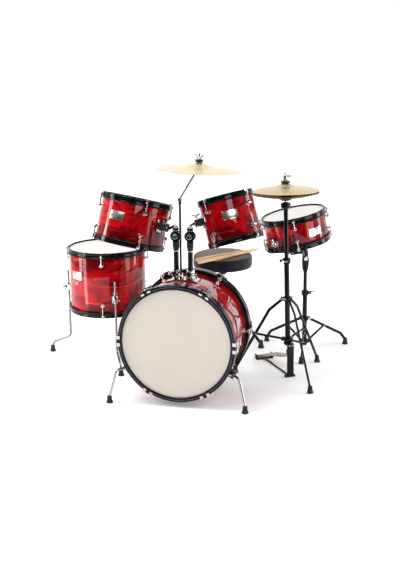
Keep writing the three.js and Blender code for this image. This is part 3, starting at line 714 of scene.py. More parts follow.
def bass_claw(shape, d, deg, way):
    """A broad claw over a bass hoop: chrome cheeks, a dark middle and the rod behind it."""
    side = (lambda z: z) if way > 0 else (lambda z: d["length"] - z)
    hoop, top, rod_r = d["hoop"], d["length"], d["rod_r"]
    outline = [(hoop + 0.3, top - 24), (rod_r + 5, top - 24), (rod_r + 5, top - 21), (hoop + 3.4, top - 20),
               (hoop + 3.2, top + 1.6), (hoop - 9, top + 1.6), (hoop - 9.6, top + 0.2),
               (hoop + 0.3, top + 0.2)]
    cheek = [(p.x, side(p.y)) for p in rounded(outline, 0.9, 2)]
    for start in (-5.3, 1.9):
        shape.lathe(cheek, CHROME, spin(deg), 6, start, 3.4)
    outline = [(hoop + 0.4, top - 22), (hoop + 2.6, top - 22), (hoop + 2.4, top + 1.0), (hoop - 8, top + 1.0),
               (hoop - 8, top + 0.2), (hoop + 0.4, top + 0.2)]
    shape.lathe([(p.x, side(p.y)) for p in rounded(outline, 0.5, 2)], HOOP, spin(deg), 6, -2.2, 4.4)
    shape.place = spin(deg)
    low, high = sorted((side(top - 26.5), side(top - 23)))
    shape.block((hoop + 0.3, -9, low), (rod_r + 6, 9, high), CHROME, edge=0.9)
    rod_end = side(top - d["lug_drop"] + 5.4)
    shape.pin((rod_r, 0, side(top - 10)), (rod_r, 0, rod_end), 2.9, CHROME, 16)
    shape.pin((rod_r, -15, side(top - 14)), (rod_r, 15, side(top - 14)), 3.0, CHROME, 14, 1.2)
    shape.place = Matrix.Identity(4)


def badge_plate(shape, d):
    """A plain silver plate bent to the shell, with a raised rim and two rivets."""
    deg, z, wide, high = d["badge"]
    r = d["shell"]
    half = math.degrees(wide / 2 / r)
    low, top = z - high / 2, z + high / 2
    outline = [(r - 0.4, low), (r + 1.4, low), (r + 1.4, top), (r - 0.4, top)]
    shape.lathe(rounded(outline, 0.5, 2), BADGE, spin(deg), 14, -half, 2 * half)
    for level in (low + 1.4, top - 1.4):
        rim = [(r + 1.2, level - 1.0), (r + 2.0, level - 0.8), (r + 2.0, level + 0.8), (r + 1.2, level + 1.0)]
        shape.lathe(rim, CHROME, spin(deg), 14, -half, 2 * half)
    for way in (-1, 1):
        shape.place = spin(deg + way * half * 0.84)
        shape.pin((r + 1, 0, z), (r + 2.3, 0, z), 1.7, CHROME, 12)
    shape.place = Matrix.Identity(4)


def vent(shape, d, deg, z):
    """A chrome grommet round the air hole."""
    r = d["shell"]
    shape.place = spin(deg) @ Matrix.Translation((r - 0.5, 0, z)) @ Z_TO_X
    shape.ring(3.4, 8.0, 0, 2.6, CHROME, facets=28, edge=1.0)
    shape.pin((0, 0, 0.2), (0, 0, 0.9), 3.4, HOOP, 20)
    shape.place = Matrix.Identity(4)


def arm_bracket(shape, d):
    """The tom's arm bracket: a rubber block in a chrome frame, with a wing screw."""
    deg, z = d["bracket"]
    r = d["shell"]
    shape.place = spin(deg)
    shape.block((r - 2, -19, z - 24), (r + 3, 19, z + 24), CHROME, edge=1.2)
    for low, high in ((z - 15, z - 11.5), (z + 11.5, z + 15)):
        shape.block((r + 2, -14, low), (r + 34, 14, high), CHROME, edge=1.0)
    shape.block((r + 2, -13.4, z - 11.4), (r + 33.5, 13.4, z + 11.4), RUBBER, edge=1.5)
    shape.pin((r + 33, 0, z), (r + 35.5, 0, z), 8.5, CHROME, 28)
    for way in (-1, 1):
        for level in (z + 20.5, z - 20.5):
            shape.pin((r + 1, way * 13, level), (r + 5, way * 13, level), 3, CHROME, 6)
    wing_screw(shape, (r + 24, 0, z + 14), (0, 0, 1), 24, 11)
    shape.place = Matrix.Identity(4)


def leg_bracket(shape, r, leg_r, deg, z):
    """A floor tom's leg bracket: base plate, split barrel and wing screw."""
    shape.place = spin(deg)
    shape.block((r - 2, -11, z - 22), (r + 2.6, 11, z + 22), CHROME, edge=1.2)
    shape.block((r + 2, -8, z - 12), (leg_r, 8, z + 12), CHROME, edge=1.4)
    shape.ring(5.3, 9.0, z - 15, z + 15, CHROME, Matrix.Translation((leg_r, 0, 0)), 32, 0.8)
    shape.block((leg_r + 7.4, -5, z - 8), (leg_r + 11, 5, z + 8), HOOP, edge=1.2)
    wing_screw(shape, (leg_r + 9, 0, z), (1, 0, 0), 24, 6)
    for level in (z - 18, z + 18):
        shape.pin((r + 2, 0, level), (r + 4.6, 0, level), 3, CHROME, 6)
    shape.place = Matrix.Identity(4)


def spur_block(shape, deg, z):
    """A chrome plate and a dark block on the bass shell, with the set screw that holds a spur."""
    shape.place = spin(deg)
    shape.block((200, -17, z - 17), (206, 17, z + 17), CHROME, edge=1.2)
    shape.block((204, -13, z - 13), (236, 13, z + 13), HOOP, edge=2.0)
    for way in (-1, 1):
        shape.pin((205, 0, z + way * 15), (208, 0, z + way * 15), 2.6, CHROME, 6)
    wing_screw(shape, (222, 0, z + 12), (0, 0, 1), 22, 8)
    shape.place = Matrix.Identity(4)


def drum(name, extras):
    """A drum with its hoops, heads, lugs, claws and rods. `extras` adds what only this drum's shell has."""
    d = DRUMS[name]
    bass = name == "bass"
    d["rod_r"] = d["hoop"] + 4 if bass else d["shell"] + 11
    place = drum_place(name)
    length, r = d["length"], d["shell"]

    wrap = GLOSSY_RED if bass else RED
    shell = Shape(wrap, CHROME, HOOP, RUBBER, BADGE)
    low, high = RECESS + 1.3, length - RECESS - 1.3
    wall = [(r, low + 2), (r, high - 2), (r - 4, high), (r - 6, high - 1.5), (r - 6, low + 1.5), (r - 4, low)]
    shell.lathe(rounded(wall, 0.8, 2), wrap, None, 128)
    seam = [(r - 0.5, low + 2), (r + 0.35, low + 2), (r + 0.35, high - 2), (r - 0.5, high - 2)]
    shell.lathe(rounded(seam, 0.2, 1), wrap, None, 8, d["lugs"][0] + SEAM_FROM_LUG, 9)
    for deg in d["lugs"]:
        small_lug(shell, d, deg, length - d["lug_drop"], 1)
        small_lug(shell, d, deg, d["lug_drop"], -1)
    if d["badge"]:
        badge_plate(shell, d)
    extras(shell, d)
    shell.finish(f"{name}_wrapped_shell", place, f"{name}_shell")

    for end, way in zip(d["ends"], (1, -1)):
        turn = (lambda p: p) if way > 0 else (lambda p: mirrored(p, length))
        rim = Shape(HOOP, CHROME, BEVEL_HIGHLIGHT_PAINT)
        rim.lathe(turn((thick_hoop if bass else thin_hoop)(d)), HOOP, None, 128)
        if bass:
            # The lighter ring in the top groove is a painted highlight of the bevel's reflection.
            inner, outer = d["hoop"] - 9.4, d["hoop"] - 7.0
            line = [(inner, length - 1.3), (outer, length - 1.3), (outer, length - 0.5),
                    (inner, length - 0.5)]
            rim.lathe(turn(line), BEVEL_HIGHLIGHT_PAINT, None, 128)
        for deg in d["lugs"]:
            (bass_claw if bass else hoop_claw)(rim, d, deg, way)
        rim.finish(f"{name}_{end}_rim", place, f"{name}_{end}_hoop")
        skin = Shape(CREAM if bass and way > 0 else WHITE)
        skin.lathe(turn(head_film(d, 3.1 if bass else 2.1)), None, None, 128)
        skin.finish(f"{name}_{end}_skin", place, f"{name}_{end}_head")
    return place


SPUR_DEG = -30  # angle of the right spur's block round the bass drum
# The floor tom's legs: radii at the drum and the foot, and heights of bracket, top and knee.
LEG = dict(r=176.0, rod=4.5, angles=(178, 298, 58), z=287.0, top=355.0, knee=74.0, foot=261.0)
THROW_OFF = dict(deg=236, low=28.0, high=58.0)


def bass_extras(shape, d):
    for deg in (SPUR_DEG, 180 - SPUR_DEG):
        spur_block(shape, deg, 231)
    vent(shape, d, 30, 143)


def floor_extras(shape, d):
    bottom = centre("floor_tom_bottom_head").z / MM - 11
    for deg in LEG["angles"]:
        leg_bracket(shape, d["shell"], LEG["r"], deg, LEG["z"] - bottom)
    vent(shape, d, 235.7, 132)


def snare_extras(shape, d):
    """The strainer block under the throw-off lever, and the plate that holds the wires' other end."""
    deg, low, high = THROW_OFF["deg"], THROW_OFF["low"], THROW_OFF["high"]
    r = d["shell"]
    shape.place = spin(deg)
    shape.block((r - 2, -15, low - 4), (r + 3, 15, high - 4), CHROME, edge=1.2)
    shape.block((r + 2, -12, low), (r + 13, 12, high - 10), CHROME, edge=2.0)
    shape.pin((r + 6, 0, low - 3), (r + 6, 0, low + 2), 3.2, CHROME)
    shape.place = spin(deg + 180)
    shape.block((r - 2, -12, 34), (r + 4, 12, 64), CHROME, edge=1.2)
    shape.block((r + 3, -9, 24), (r + 9, 9, 48), CHROME, edge=1.5)
    shape.place = Matrix.Identity(4)


def snare_fittings(place):
    """The throw-off lever, and the wires across the bottom head."""
    lever = Shape(CHROME, RUBBER)
    deg, low, high = THROW_OFF["deg"], THROW_OFF["low"], THROW_OFF["high"]
    r = DRUMS["snare"]["shell"]
    lever.place = spin(deg)
    lever.block((r + 14.2, -7, low + 6), (r + 17.9, 7, high + 12), CHROME, edge=1.4)
    lever.block((r + 14.2, -8, high + 4), (r + 21.5, 8, high + 16), RUBBER, edge=2.4)
    lever.pin((r + 17, -10, low + 8), (r + 17, 10, low + 8), 3.4, CHROME)
    lever.finish("throw_off_lever", place, "snare_throw_off")
    wires = Shape(CHROME)
    wires.place = spin(deg)
    reach, strands, first, pitch = 96, 12, -17.6, 3.2
    for x in (-reach, reach):
        wires.block((x - 4, -20, 3.1), (x + 4, 20, 4.9), CHROME, edge=0.5)
    for k in range(strands):
        y = first + k * pitch
        wires.tube([(-reach, y, 4.2), (reach, y, 4.2)], 0.8, CHROME, sides=8)
    wires.finish("snare_wire_strands", place, "snare_wires")


def drums():
    """All five drums. Returns the snare drum's frame."""
    drum("bass", bass_extras)
    drum("tom_left", arm_bracket)
    drum("tom_right", arm_bracket)
    drum("floor_tom", floor_extras)
    place = drum("snare", snare_extras)
    snare_fittings(place)
    return place


# ---- bass drum fittings ----
# The tom posts stand at one y and two x. `ratchet` is the height of the knuckles' axis.
POSTS = dict(y=10.0, left=-34.0, right=19.0, ratchet=597.0, radius=9.5)
CRASH_ROD = (-10.0, -15.0)
KNUCKLE = 19.0  # the knuckle's radius
ARM_R = 5.5
BASS_Z = BASS_AXIS.z / MM
KIT = Matrix.Translation(ORIGIN)
SPUR = dict(block_r=217, block_y=-88, bend=(228, -130, 120), foot=(252, -145, 0), rod=4.8)


def spurs():
    """The right spur's points, and their mirror image for the left."""
    for node, side in (("spur_left", -1), ("spur_right", 1)):
        s = Shape(CHROME, RUBBER)
        flip = lambda x, y, z: Vector((side * x, y, z))
        block = polar(SPUR["block_r"], SPUR_DEG)
        entry = flip(block.x, SPUR["block_y"], BASS_Z + block.y)
        bend, foot = flip(*SPUR["bend"]), flip(*SPUR["foot"])
        along = (bend - entry).normalized()
        s.tube([entry - along * 10, bend, foot + Vector((0, 0, 22))], SPUR["rod"], CHROME, 11)
        rubber_foot(s, foot)
        s.finish(f"{node}_leg", KIT, node)


def tom_holder():
    s = Shape(CHROME, HOOP)
    y, radius = POSTS["y"], POSTS["radius"]
    outer = DRUMS["bass"]["shell"]
    low, high = math.degrees(math.acos(50 / outer)), math.degrees(math.acos(-64 / outer))
    # The saddle is a piece of a ring round the bass drum's axis, which runs along Y.
    about = Matrix.Translation((0, 44, BASS_Z)) @ Matrix.Rotation(math.radians(90), 4, "X")
    saddle = rounded([(outer + 0.5, 0), (outer + 5, 0), (outer + 5, 70), (outer + 0.5, 70)], 1.4, 2)
    s.lathe(saddle, CHROME, about, 24, low, high - low)
    top = BASS_Z + outer + 3
    for x in (POSTS["left"], POSTS["right"]):
        post = Matrix.Translation((x, y, 0))
        s.ring(radius + 0.6, 15.5, top - 2, 473.5, CHROME, post, 48, 1.6)
        s.ring(radius + 0.6, 17, top + 4, top + 10, CHROME, post, 48, 1.2)
        for lug in (-1, 1):
            s.block((x + lug * 5 - 3, y - 28, 450), (x + lug * 5 + 3, y - 10, 471), CHROME, edge=1.4)
        s.block((x - 2, y - 26, 452), (x + 2, y - 11, 469), HOOP, edge=0.4)
        way = -1 if x < 0 else 1
        wing_screw(s, (x + way * 8, y - 20, 461), (way, -0.25, 0.0), 24, 8)
        s.pin((x - way * 12, y - 20, 461), (x - way * 8, y - 20, 461), 5, CHROME, 6)
        for dx in (-21, 21):
            base = Vector((x + dx * 0.8, y + 22, 0))
            base.z = BASS_Z + math.sqrt(outer ** 2 - base.x ** 2) + 4
            s.cyl(base, base + Vector((0, 0, 5)), 4.6, 3.4, CHROME, 6)
    x, cy = CRASH_ROD
    s.ring(4.6, 9.2, top - 2, 465.5, CHROME, Matrix.Translation((x, cy, 0)), 36, 1.0)
    wing_screw(s, (x, cy - 8, 458), (0.2, -1, 0), 22, 7)
    s.finish("tom_holder_saddle", KIT, "tom_holder_base")


def tom_posts():
    y, ratchet, radius = POSTS["y"], POSTS["ratchet"], POSTS["radius"]
    for node, x in (("tom_post_left", POSTS["left"]), ("tom_post_right", POSTS["right"])):
        s = Shape(BLACK, CHROME, HOOP)
        post = Matrix.Translation((x, y, 0))
        s.pin((x, y, 392), (x, y, ratchet - 34), radius, BLACK, 40)
        neck = [(0, ratchet - 52), (radius + 0.4, ratchet - 52), (radius + 3, ratchet - 40),
                (12.2, ratchet - 34), (12.2, ratchet - 23), (10, ratchet - 22), (0, ratchet - 22)]
        s.lathe(neck, BLACK, post, 40)
        s.ring(radius + 0.1, radius + 1.2, ratchet - 56, ratchet - 52, CHROME, post, 40, 0.3)
        for way in (-1, 1):
            near, far = y + way * 7.4, y + way * 12.2
            low, high = (x - 9, min(near, far), ratchet - 34), (x + 9, max(near, far), ratchet - 4)
            s.block(low, high, BLACK, edge=1.4)
            s.cyl((x, near, ratchet), (x, far, ratchet), KNUCKLE, KNUCKLE - 1.6, BLACK, 48, 1.2)
            s.place = aim((x, far - way * 0.4, ratchet), (x, far + way * 10, ratchet))
            s.ring(7.6, 10.4, 0, 1.4, CHROME, facets=36, edge=0.5)
            s.cyl((0, 0, 0), (0, 0, 3.6), 6.5, 5.6, CHROME, 6)
            s.pin((0, 0, 3), (0, 0, 5.0), 3.2, CHROME, 16)
            s.place = Matrix.Identity(4)
        s.finish(f"{node}_tube", KIT, node)


def bracket_path(name):
    d = DRUMS[name]
    deg, z = d["bracket"]
    place = drum_place(name)
    to_kit = lambda r: ((place @ (polar(r, deg, z) * MM)) - ORIGIN) / MM
    return [to_kit(d["shell"] + 46), to_kit(d["shell"] + 8)]


def tom_arms():
    y, ratchet = POSTS["y"], POSTS["ratchet"]
    for side in ("left", "right"):
        x = POSTS[side]
        s = Shape(CHROME, BLACK)
        s.pin((x, y - 6.8, ratchet), (x, y + 6.8, ratchet), KNUCKLE - 1.2, CHROME, 48, 1.0)
        for deg in around(24, 0):
            out = polar(1, deg)
            tooth = Vector((x, y, ratchet)) + Vector((out.x, 0, out.y)) * (KNUCKLE - 1.8)
            s.pin(tooth - Vector((0, 6, 0)), tooth + Vector((0, 6, 0)), 1.1, CHROME, 8)
        s.block((x - 10, y - 6.4, ratchet + 10), (x + 10, y + 6.4, ratchet + 31), BLACK, edge=2.2)
        s.block((x - 11, y - 7.2, ratchet + 19), (x + 11, y + 7.2, ratchet + 22), CHROME, edge=0.8)
        s.ring(5.2, 8.8, ratchet + 29, ratchet + 34, CHROME, Matrix.Translation((x, y, 0)), 32, 0.8)
        path = [(x, y, ratchet + 24), (x, y, ratchet + 38), *bracket_path(f"tom_{side}")]
        s.tube(path, ARM_R, CHROME, 9, 20)
        s.finish(f"tom_arm_{side}_rod", KIT, f"tom_arm_{side}")


# ---- cymbals ----
CYMBAL_THICK = 1.2


def cymbal_profile(radius, rise, bell, share):
    """Bow and bell from the edge, at height 0, to the flat round the hole.
    The bell takes a share of the radius."""
    foot = radius * share
    under = []
    for k in range(13):
        s = 1 - (1 - share) * k / 12
        under.append((radius * s, (rise - bell) * (1 - s * s) / (1 - share * share)))
    for k in range(1, 13):
        t = k / 12
        dome = 0.5 - 0.5 * math.cos(math.pi * t ** 0.85)
        under.append((foot + (6.5 - foot) * t, rise - bell + bell * dome))
    upper = [(r, z + CYMBAL_THICK) for r, z in under]
    return under[::-1] + [(radius + 0.15, CYMBAL_THICK / 2)] + upper


def cymbal(name, node, place, radius, rise, bell, share, metal=BRASS, upside_down=False):
    profile = cymbal_profile(radius, rise, bell, share)
    if upside_down:
        profile = [(r, -z) for r, z in profile][::-1]
    s = Shape(metal)
    s.lathe(profile, None, None, 144)
    s.finish(name, place, node)


def wire(radius, thick, facets, z=0.0):
    """The outline of a round wire bent to a ring at height z."""
    angles = [2 * math.pi * k / facets for k in range(facets)]
    return [(radius + thick * math.cos(a), z + thick * math.sin(a)) for a in angles]


def felt_pad(shape, low, high, radius, bore):
    e = min(3.0, (high - low) * 0.3)
    profile = rounded([(bore, low), (radius, low), (radius, high), (bore, high)], e, 4)
    shape.lathe(profile, FELT, None, 40)


CRASH = dict(at=(53, 14, 833), up=(0.045, 0.051, 0.998), rise=26.0, joint_z=733.0)


def crash():
    rise, z = CRASH["rise"], CRASH["joint_z"]
    axis = Vector(CRASH["up"]).normalized()
    place = leaning(spot(*CRASH["at"]), axis)
    to_kit = lambda height: (place @ Vector((0, 0, height * MM)) - ORIGIN) / MM
    x, y = CRASH_ROD
    s = Shape(BLACK, CHROME, DARK_STEEL)
    s.pin((x, y, 398), (x, y, z - 12), 3.8, DARK_STEEL, 24)
    s.block((x - 4.4, y - 4.4, z - 16), (x + 4.4, y + 7, z - 7.4), BLACK, edge=1.6)
    s.block((x - 4.2, y + 2.8, z - 14), (x + 4.2, y + 7, z), BLACK, edge=1.2)
    s.cyl((x, y + 2.8, z), (x, y + 8, z), 6.4, 5.8, BLACK, 32, 0.8)
    s.pin((x, y + 7.6, z), (x, y + 10.5, z), 3.8, CHROME, 6)
    s.finish("crash_stem_rod", KIT, "crash_rod")

    s = Shape(CHROME, FELT, ARM_STEEL)
    s.cyl((x, y - 6, z), (x, y + 2.4, z), 6.2, 5.8, CHROME, 32, 0.8)
    s.pin((x, y - 8.0, z), (x, y - 5.6, z), 3.8, CHROME, 6)
    s.tube([(x, y - 3.2, z + 3), to_kit(rise - 14), to_kit(rise + 34)], 3.3, ARM_STEEL, 14, 18)
    s.place = leaning(to_kit(0), axis)
    s.pin((0, 0, rise - 14), (0, 0, rise - 11), 10, CHROME, 32)
    felt_pad(s, rise - 11, rise - 2.0, 10.5, 3.6)
    felt_pad(s, rise + 3, rise + 14.5, 13.8, 3.6)
    s.cyl((0, 0, rise + 14.6), (0, 0, rise + 18), 8, 5.6, CHROME, 28)
    s.cyl((0, 0, rise + 17), (0, 0, rise + 27), 5.0, 3.9, CHROME, 24)
    for way in (-1, 1):
        wing = [(way * 3, 0, rise + 19), (way * 9, 0, rise + 22), (way * 13, 0, rise + 31)]
        s.tube(wing, 2.1, CHROME, 5, 12)
        s.ball((way * 13, 0, rise + 31), 2.7, CHROME, 14)
    s.finish("crash_boom_arm", KIT, "crash_arm")
    cymbal("crash_disc", "crash_cymbal", place, 6 * INCH, rise, 16.0, 0.40, PALE_BRASS)


# ---- floor tom legs ----
def floor_tom_legs():
    place = upright(below("floor_tom_top_head"))
    for side, deg in zip(("left", "front", "rear"), LEG["angles"]):
        s = Shape(SHADED_LEG_CHROME, RUBBER)
        path = [polar(LEG["r"], deg, LEG["top"]), polar(LEG["r"], deg, LEG["knee"]),
                polar(LEG["foot"] - 8, deg, 44), polar(LEG["foot"], deg, 20)]
        s.tube(path, LEG["rod"], SHADED_LEG_CHROME, 14, 18)
        s.ball(polar(LEG["r"], deg, LEG["top"]), LEG["rod"], SHADED_LEG_CHROME, 18)
        rubber_foot(s, polar(LEG["foot"], deg))
        s.finish(f"leg_{side}_rod", place, f"floor_tom_leg_{side}")


# ---- tripods ----
def tripod(shape, tube, upper, lower, knee, foot_r, angles, brace_at, floor_at=lambda p: 0.0):
    """Two collars round a tube that carry bent legs and the braces which spread them.
    The knee and the brace's end are (radius, height), and `floor_at` is the floor's height at a point."""
    for z, lip in ((upper, 7), (lower, 6)):
        shape.ring(tube + 0.4, tube + lip, z - 8, z + 8, BLACK, None, 48, 1.4)
        shape.ring(tube + 0.4, tube + lip + 1.4, z - 2.2, z + 2.2, BLACK, None, 48, 0.8)
    for deg in angles:
        at = lambda p: polar(p[0], deg, p[1])
        across = polar(1, deg + 90)
        base = floor_at(polar(foot_r, deg))
        shape.bar(at((tube + 6, upper)), at(knee), 5.5, 11.5, BLACK, 1.6, 3)
        shape.bar(at(knee), at((foot_r - 2, base + 22)), 5.5, 11.5, BLACK, 1.6, 2)
        shape.bar(at((tube + 5, lower)), at(brace_at), 4, 8.5, BLACK, 1.2, 3)
        for where, half in (((tube + 10, upper), 8.4), ((tube + 8, lower), 7.0), (brace_at, 8.2)):
            shape.pin(at(where) - across * half, at(where) + across * half, 3.0, CHROME, 18, 1.0)
        for z in (upper, lower):
            for way in (-1, 1):
                cheek = at((tube + 9, z)) + across * way * 7.2
                size = Vector((6, 1.6, 6))
                shape.block(-size, size, BLACK, Matrix.Translation(cheek) @ spin(deg), 1.0)
        rubber_foot(shape, at((foot_r, base)))


def clamp(shape, outer, z, deg, within=Matrix.Identity(4)):
    """A tube clamp: moulded collar, split lugs and a wing screw."""
    shape.place = within
    collar = [(outer + 0.2, z - 12), (outer + 3, z - 12), (outer + 5.6, z - 4), (outer + 5.8, z + 7),
              (outer + 4, z + 9.5), (outer - 1.6, z + 9.5)]
    shape.lathe(rounded(collar, 1.2, 2), BLACK, None, 48)
    shape.place = within @ spin(deg)
    for way in (-1, 1):
        shape.block((outer + 3, way * 4 - 2.4, z - 6), (outer + 17, way * 4 + 2.4, z + 6), BLACK, edge=1.6)
    wing_screw(shape, (outer + 12, 6, z), (0, 1, 0), 26, 7)
    shape.pin((outer + 12, -10, z), (outer + 12, -6, z), 5, CHROME, 6)
    shape.place = Matrix.Identity(4)


# ---- hi-hat ----
# The hi-hat stands at `at`, turned, and its tube leans along `lean`. The other sizes are along the tube.
HAT = dict(at=(334, 288), turn=34.6, lean=(-20, 15, 724), edge=724.4, open=8.0, rise=28.0,
           outer=10.0, top=460.0, upper=8.0, cup=672.0, rod_top=794)
BOARD = dict(heel=234.0, heel_z=14.0, toe_y=24.0, toe_z=74.0)


def hi_hat():
    flat = upright(spot(*HAT["at"], 0), HAT["turn"])
    tip = leaning(Vector(), spin(-HAT["turn"]) @ Vector(HAT["lean"]).normalized())
    place = flat @ tip
    outer, top, heel = HAT["outer"], HAT["top"], BOARD["heel"]

    s = Shape(BLACK, CHROME, RUBBER)
    s.block((-12.5, -19, 4), (12.5, -14, 138), BLACK, edge=1.2)
    for x in (-11.6, 11.6):
        s.block((x - 1.4, -20.6, 8), (x + 1.4, -13, 134), BLACK, edge=0.6)
    s.block((-20, -20, 0), (20, -6, 5), BLACK, edge=1.4)
    s.block((-21, -20.5, 0), (-12, -5.5, 8), RUBBER, edge=1.8)
    s.block((12, -20.5, 0), (21, -5.5, 8), RUBBER, edge=1.8)
    s.block((-9, -16, 120), (8, -1, 136), BLACK, edge=2.0)
    s.place = tip
    s.lathe([(8.7, 126), (14, 126), (16, 129), (16, 137), (11.5, 139), (8.7, 139)], BLACK, None, 48)
    s.ring(8.8, outer, 136, top - 6, BLACK, None, 48, 0.4)
    clamp(s, outer, top - 2, 180, within=tip)
    s.block((-5, -12, 0.2), (5, heel, 4), BLACK, edge=1.0)
    outline = rounded([(-38, heel - 12), (38, heel - 12), (30, heel + 30), (-30, heel + 30)], 8, 5)
    s.plate(outline, 0, 4, BLACK)
    pin_z = BOARD["heel_z"]
    for x in (-35, 35):
        s.block((x - 3, heel - 10, 2), (x + 3, heel + 12, pin_z + 7), BLACK, edge=1.6)
        s.pin((x - 4.4, heel, pin_z), (x + 4.4, heel, pin_z), 4, CHROME, 18)
    for x in (-6.5, 6.5):
        s.pin((x, -19, 128), (x, -23, 128), 3.4, CHROME, 6)
    s.finish("hihat_frame_plate", flat, "hihat_frame")

    s = Shape(BLACK, CHROME, RUBBER)
    level = tip.to_3x3().inverted() @ UP
    floor_at = lambda p: 0.45 - (level.x * p.x + level.y * p.y) / level.z
    angles = [a - HAT["turn"] for a in (66, 182, 302)]
    tripod(s, outer, 309, 149, (70, 264), 210, angles, (124, 167), floor_at)
    wing_screw(s, polar(outer + 5, 210, 312), polar(1, 210), 22, 8)
    s.turn(place.to_quaternion().to_matrix().to_4x4())
    s.finish("hihat_tripod_legs", Matrix.Translation(place.to_translation()), "hihat_tripod")

    upper, cup = HAT["upper"], HAT["cup"]
    s = Shape(BLACK, FELT)
    s.ring(4.5, upper, 232, cup - 8, BLACK, None, 40, 0.4)
    collar = [(4.5, cup - 19), (upper + 0.5, cup - 19), (upper + 2.5, cup - 15), (17, cup - 10),
              (18.4, cup - 8), (18.6, cup + 6.8), (4.5, cup + 6.8)]
    s.lathe(rounded(collar, 1.4, 3), BLACK, None, 56)
    s.ring(16, 19, cup - 1, cup + 2, BLACK, None, 56, 0.6)
    felt_pad(s, cup + 6.8, cup + 9.6, 11, 4.6)
    s.finish("hihat_upper_tube_cup", place, "hihat_upper_tube")

    footboard(flat)

    s = Shape(CHROME, RUBBER)
    low = BOARD["toe_z"] + 12
    s.pin((0, 0, low + 14), (0, 0, HAT["rod_top"]), 2.9, CHROME, 16)
    s.block((-7, -1.5, low), (7, 1.5, low + 20), RUBBER, edge=0.5)
    s.pin((0, -3.4, low + 15), (0, 3.4, low + 15), 3.6, CHROME, 16)
    s.cyl((0, 0, low + 18), (0, 0, low + 30), 5.0, 4.0, CHROME, 20)
    s.finish("hihat_pull_rod_strap", place, "hihat_pull_rod")

    seat = HAT["edge"] + HAT["rise"]
    s = Shape(CHROME, FELT)
    s.ring(3.5, 5.6, seat - 14, seat + 34, CHROME, None, 28, 0.4)
    s.ring(5.5, 11, seat - 14, seat - 11.5, CHROME, None, 28, 0.5)
    felt_pad(s, seat - 11.5, seat - 2.4, 12, 5.6)
    felt_pad(s, seat + 1.9, seat + 10.5, 17, 5.6)
    s.ring(5.5, 16.4, seat + 10.4, seat + 13, CHROME, None, 40, 0.7)
    s.ring(5.5, 9.4, seat + 13, seat + 19, CHROME, None, 36, 1.0)
    s.ring(5.5, 8.4, seat + 19, seat + 31, CHROME, None, 36, 1.0)
    wing_screw(s, (8, 0, seat + 25), (1, 0, 0.25), 18, 6)
    s.finish("hihat_clutch_nut", place, "hihat_clutch")
    bow = (5 * INCH, HAT["rise"], 12.0, 0.30)
    top_edge = Matrix.Translation((0, 0, HAT["edge"] * MM))
    cymbal("hihat_top_disc", "hihat_top_cymbal", place @ top_edge, *bow)
    low_edge = Matrix.Translation((0, 0, (HAT["edge"] - HAT["open"]) * MM))
    # The bottom cymbal takes the darker brass, whose colour paints in its underside's shade and dark
    # reflection.
    cymbal("hihat_bottom_disc", "hihat_bottom_cymbal", place @ low_edge, *bow, SHADED_UNDERSIDE_BRASS, upside_down=True)


def pedal_plate(shape, a, b, half_heel, half_toe, thick, crown, ribs):
    """A cast footboard from a, at the heel, to b, at the toe: crowned, with raised ribs."""
    matrix, length = level_frame(a, b)
    steps, across = 22, 8
    half = lambda t: half_heel + (half_toe - half_heel) * t + 4 * math.sin(math.pi * t)
    lift = lambda t, u: crown * math.sin(math.pi * min(1, t * 1.05)) * (1 - 0.25 * u * u)
    points, faces = [], []
    for level in (thick / 2, -thick / 2):
        for i in range(steps + 1):
            t = i / steps
            corner = min(1.0, 3.2 * min(t, 1 - t) + 0.55)
            for k in range(across + 1):
                u = -1 + 2 * k / across
                points.append((t * length, u * half(t) * corner, level + lift(t, u)))
    # `row` corners run across the board, and the lower sheet's corners follow the upper sheet's.
    row, sheet = across + 1, (steps + 1) * (across + 1)
    for i in range(steps):
        for k in range(across):
            first = i * row + k
            corners = [first, first + row, first + row + 1, first + 1]
            faces.append(corners)
            faces.append([sheet + corners[c] for c in (0, 3, 2, 1)])
    edge = list(range(row)) + [i * row + across for i in range(1, steps + 1)]
    edge += [steps * row + k for k in range(across - 1, -1, -1)]
    edge += [i * row for i in range(steps - 1, 0, -1)]
    for i, e in enumerate(edge):
        n = edge[(i + 1) % len(edge)]
        faces.append([e, n, sheet + n, sheet + e])
    shape.take(points, faces, BRONZE, matrix)
    for i in range(ribs):
        t = 0.2 + 0.6 * i / (ribs - 1)
        w = half(t) * 0.74
        level = lift(t, 0.4) + thick / 2
        x = t * length
        shape.block((x - 2, -w, level - 1.5), (x + 2, w, level + 1.2), BRONZE, matrix, 0.8)


def footboard(place):
    s = Shape(BRONZE, CHROME, RUBBER)
    heel = (0, BOARD["heel"], BOARD["heel_z"])
    toe_y, toe_z = BOARD["toe_y"], BOARD["toe_z"]
    pedal_plate(s, heel, (0, toe_y, toe_z), 26, 20, 6, 7, 6)
    s.pin((-31, *heel[1:]), (31, *heel[1:]), 5, BRONZE, 24)
    s.bar((0, toe_y + 10, toe_z - 2), (0, -6, toe_z + 8), 16, 5, BRONZE, 1.4)
    s.pin((0, -2, toe_z + 2), (0, -2, toe_z + 10.5), 4, CHROME, 6)
    s.finish("hihat_footboard_cast", place, "hihat_footboard")


# ---- snare stand ----
TILTER = 393.0  # height of the basket's hinge
SNARE_TUBE = dict(outer=9.5, top=247.0, upper=7.4)


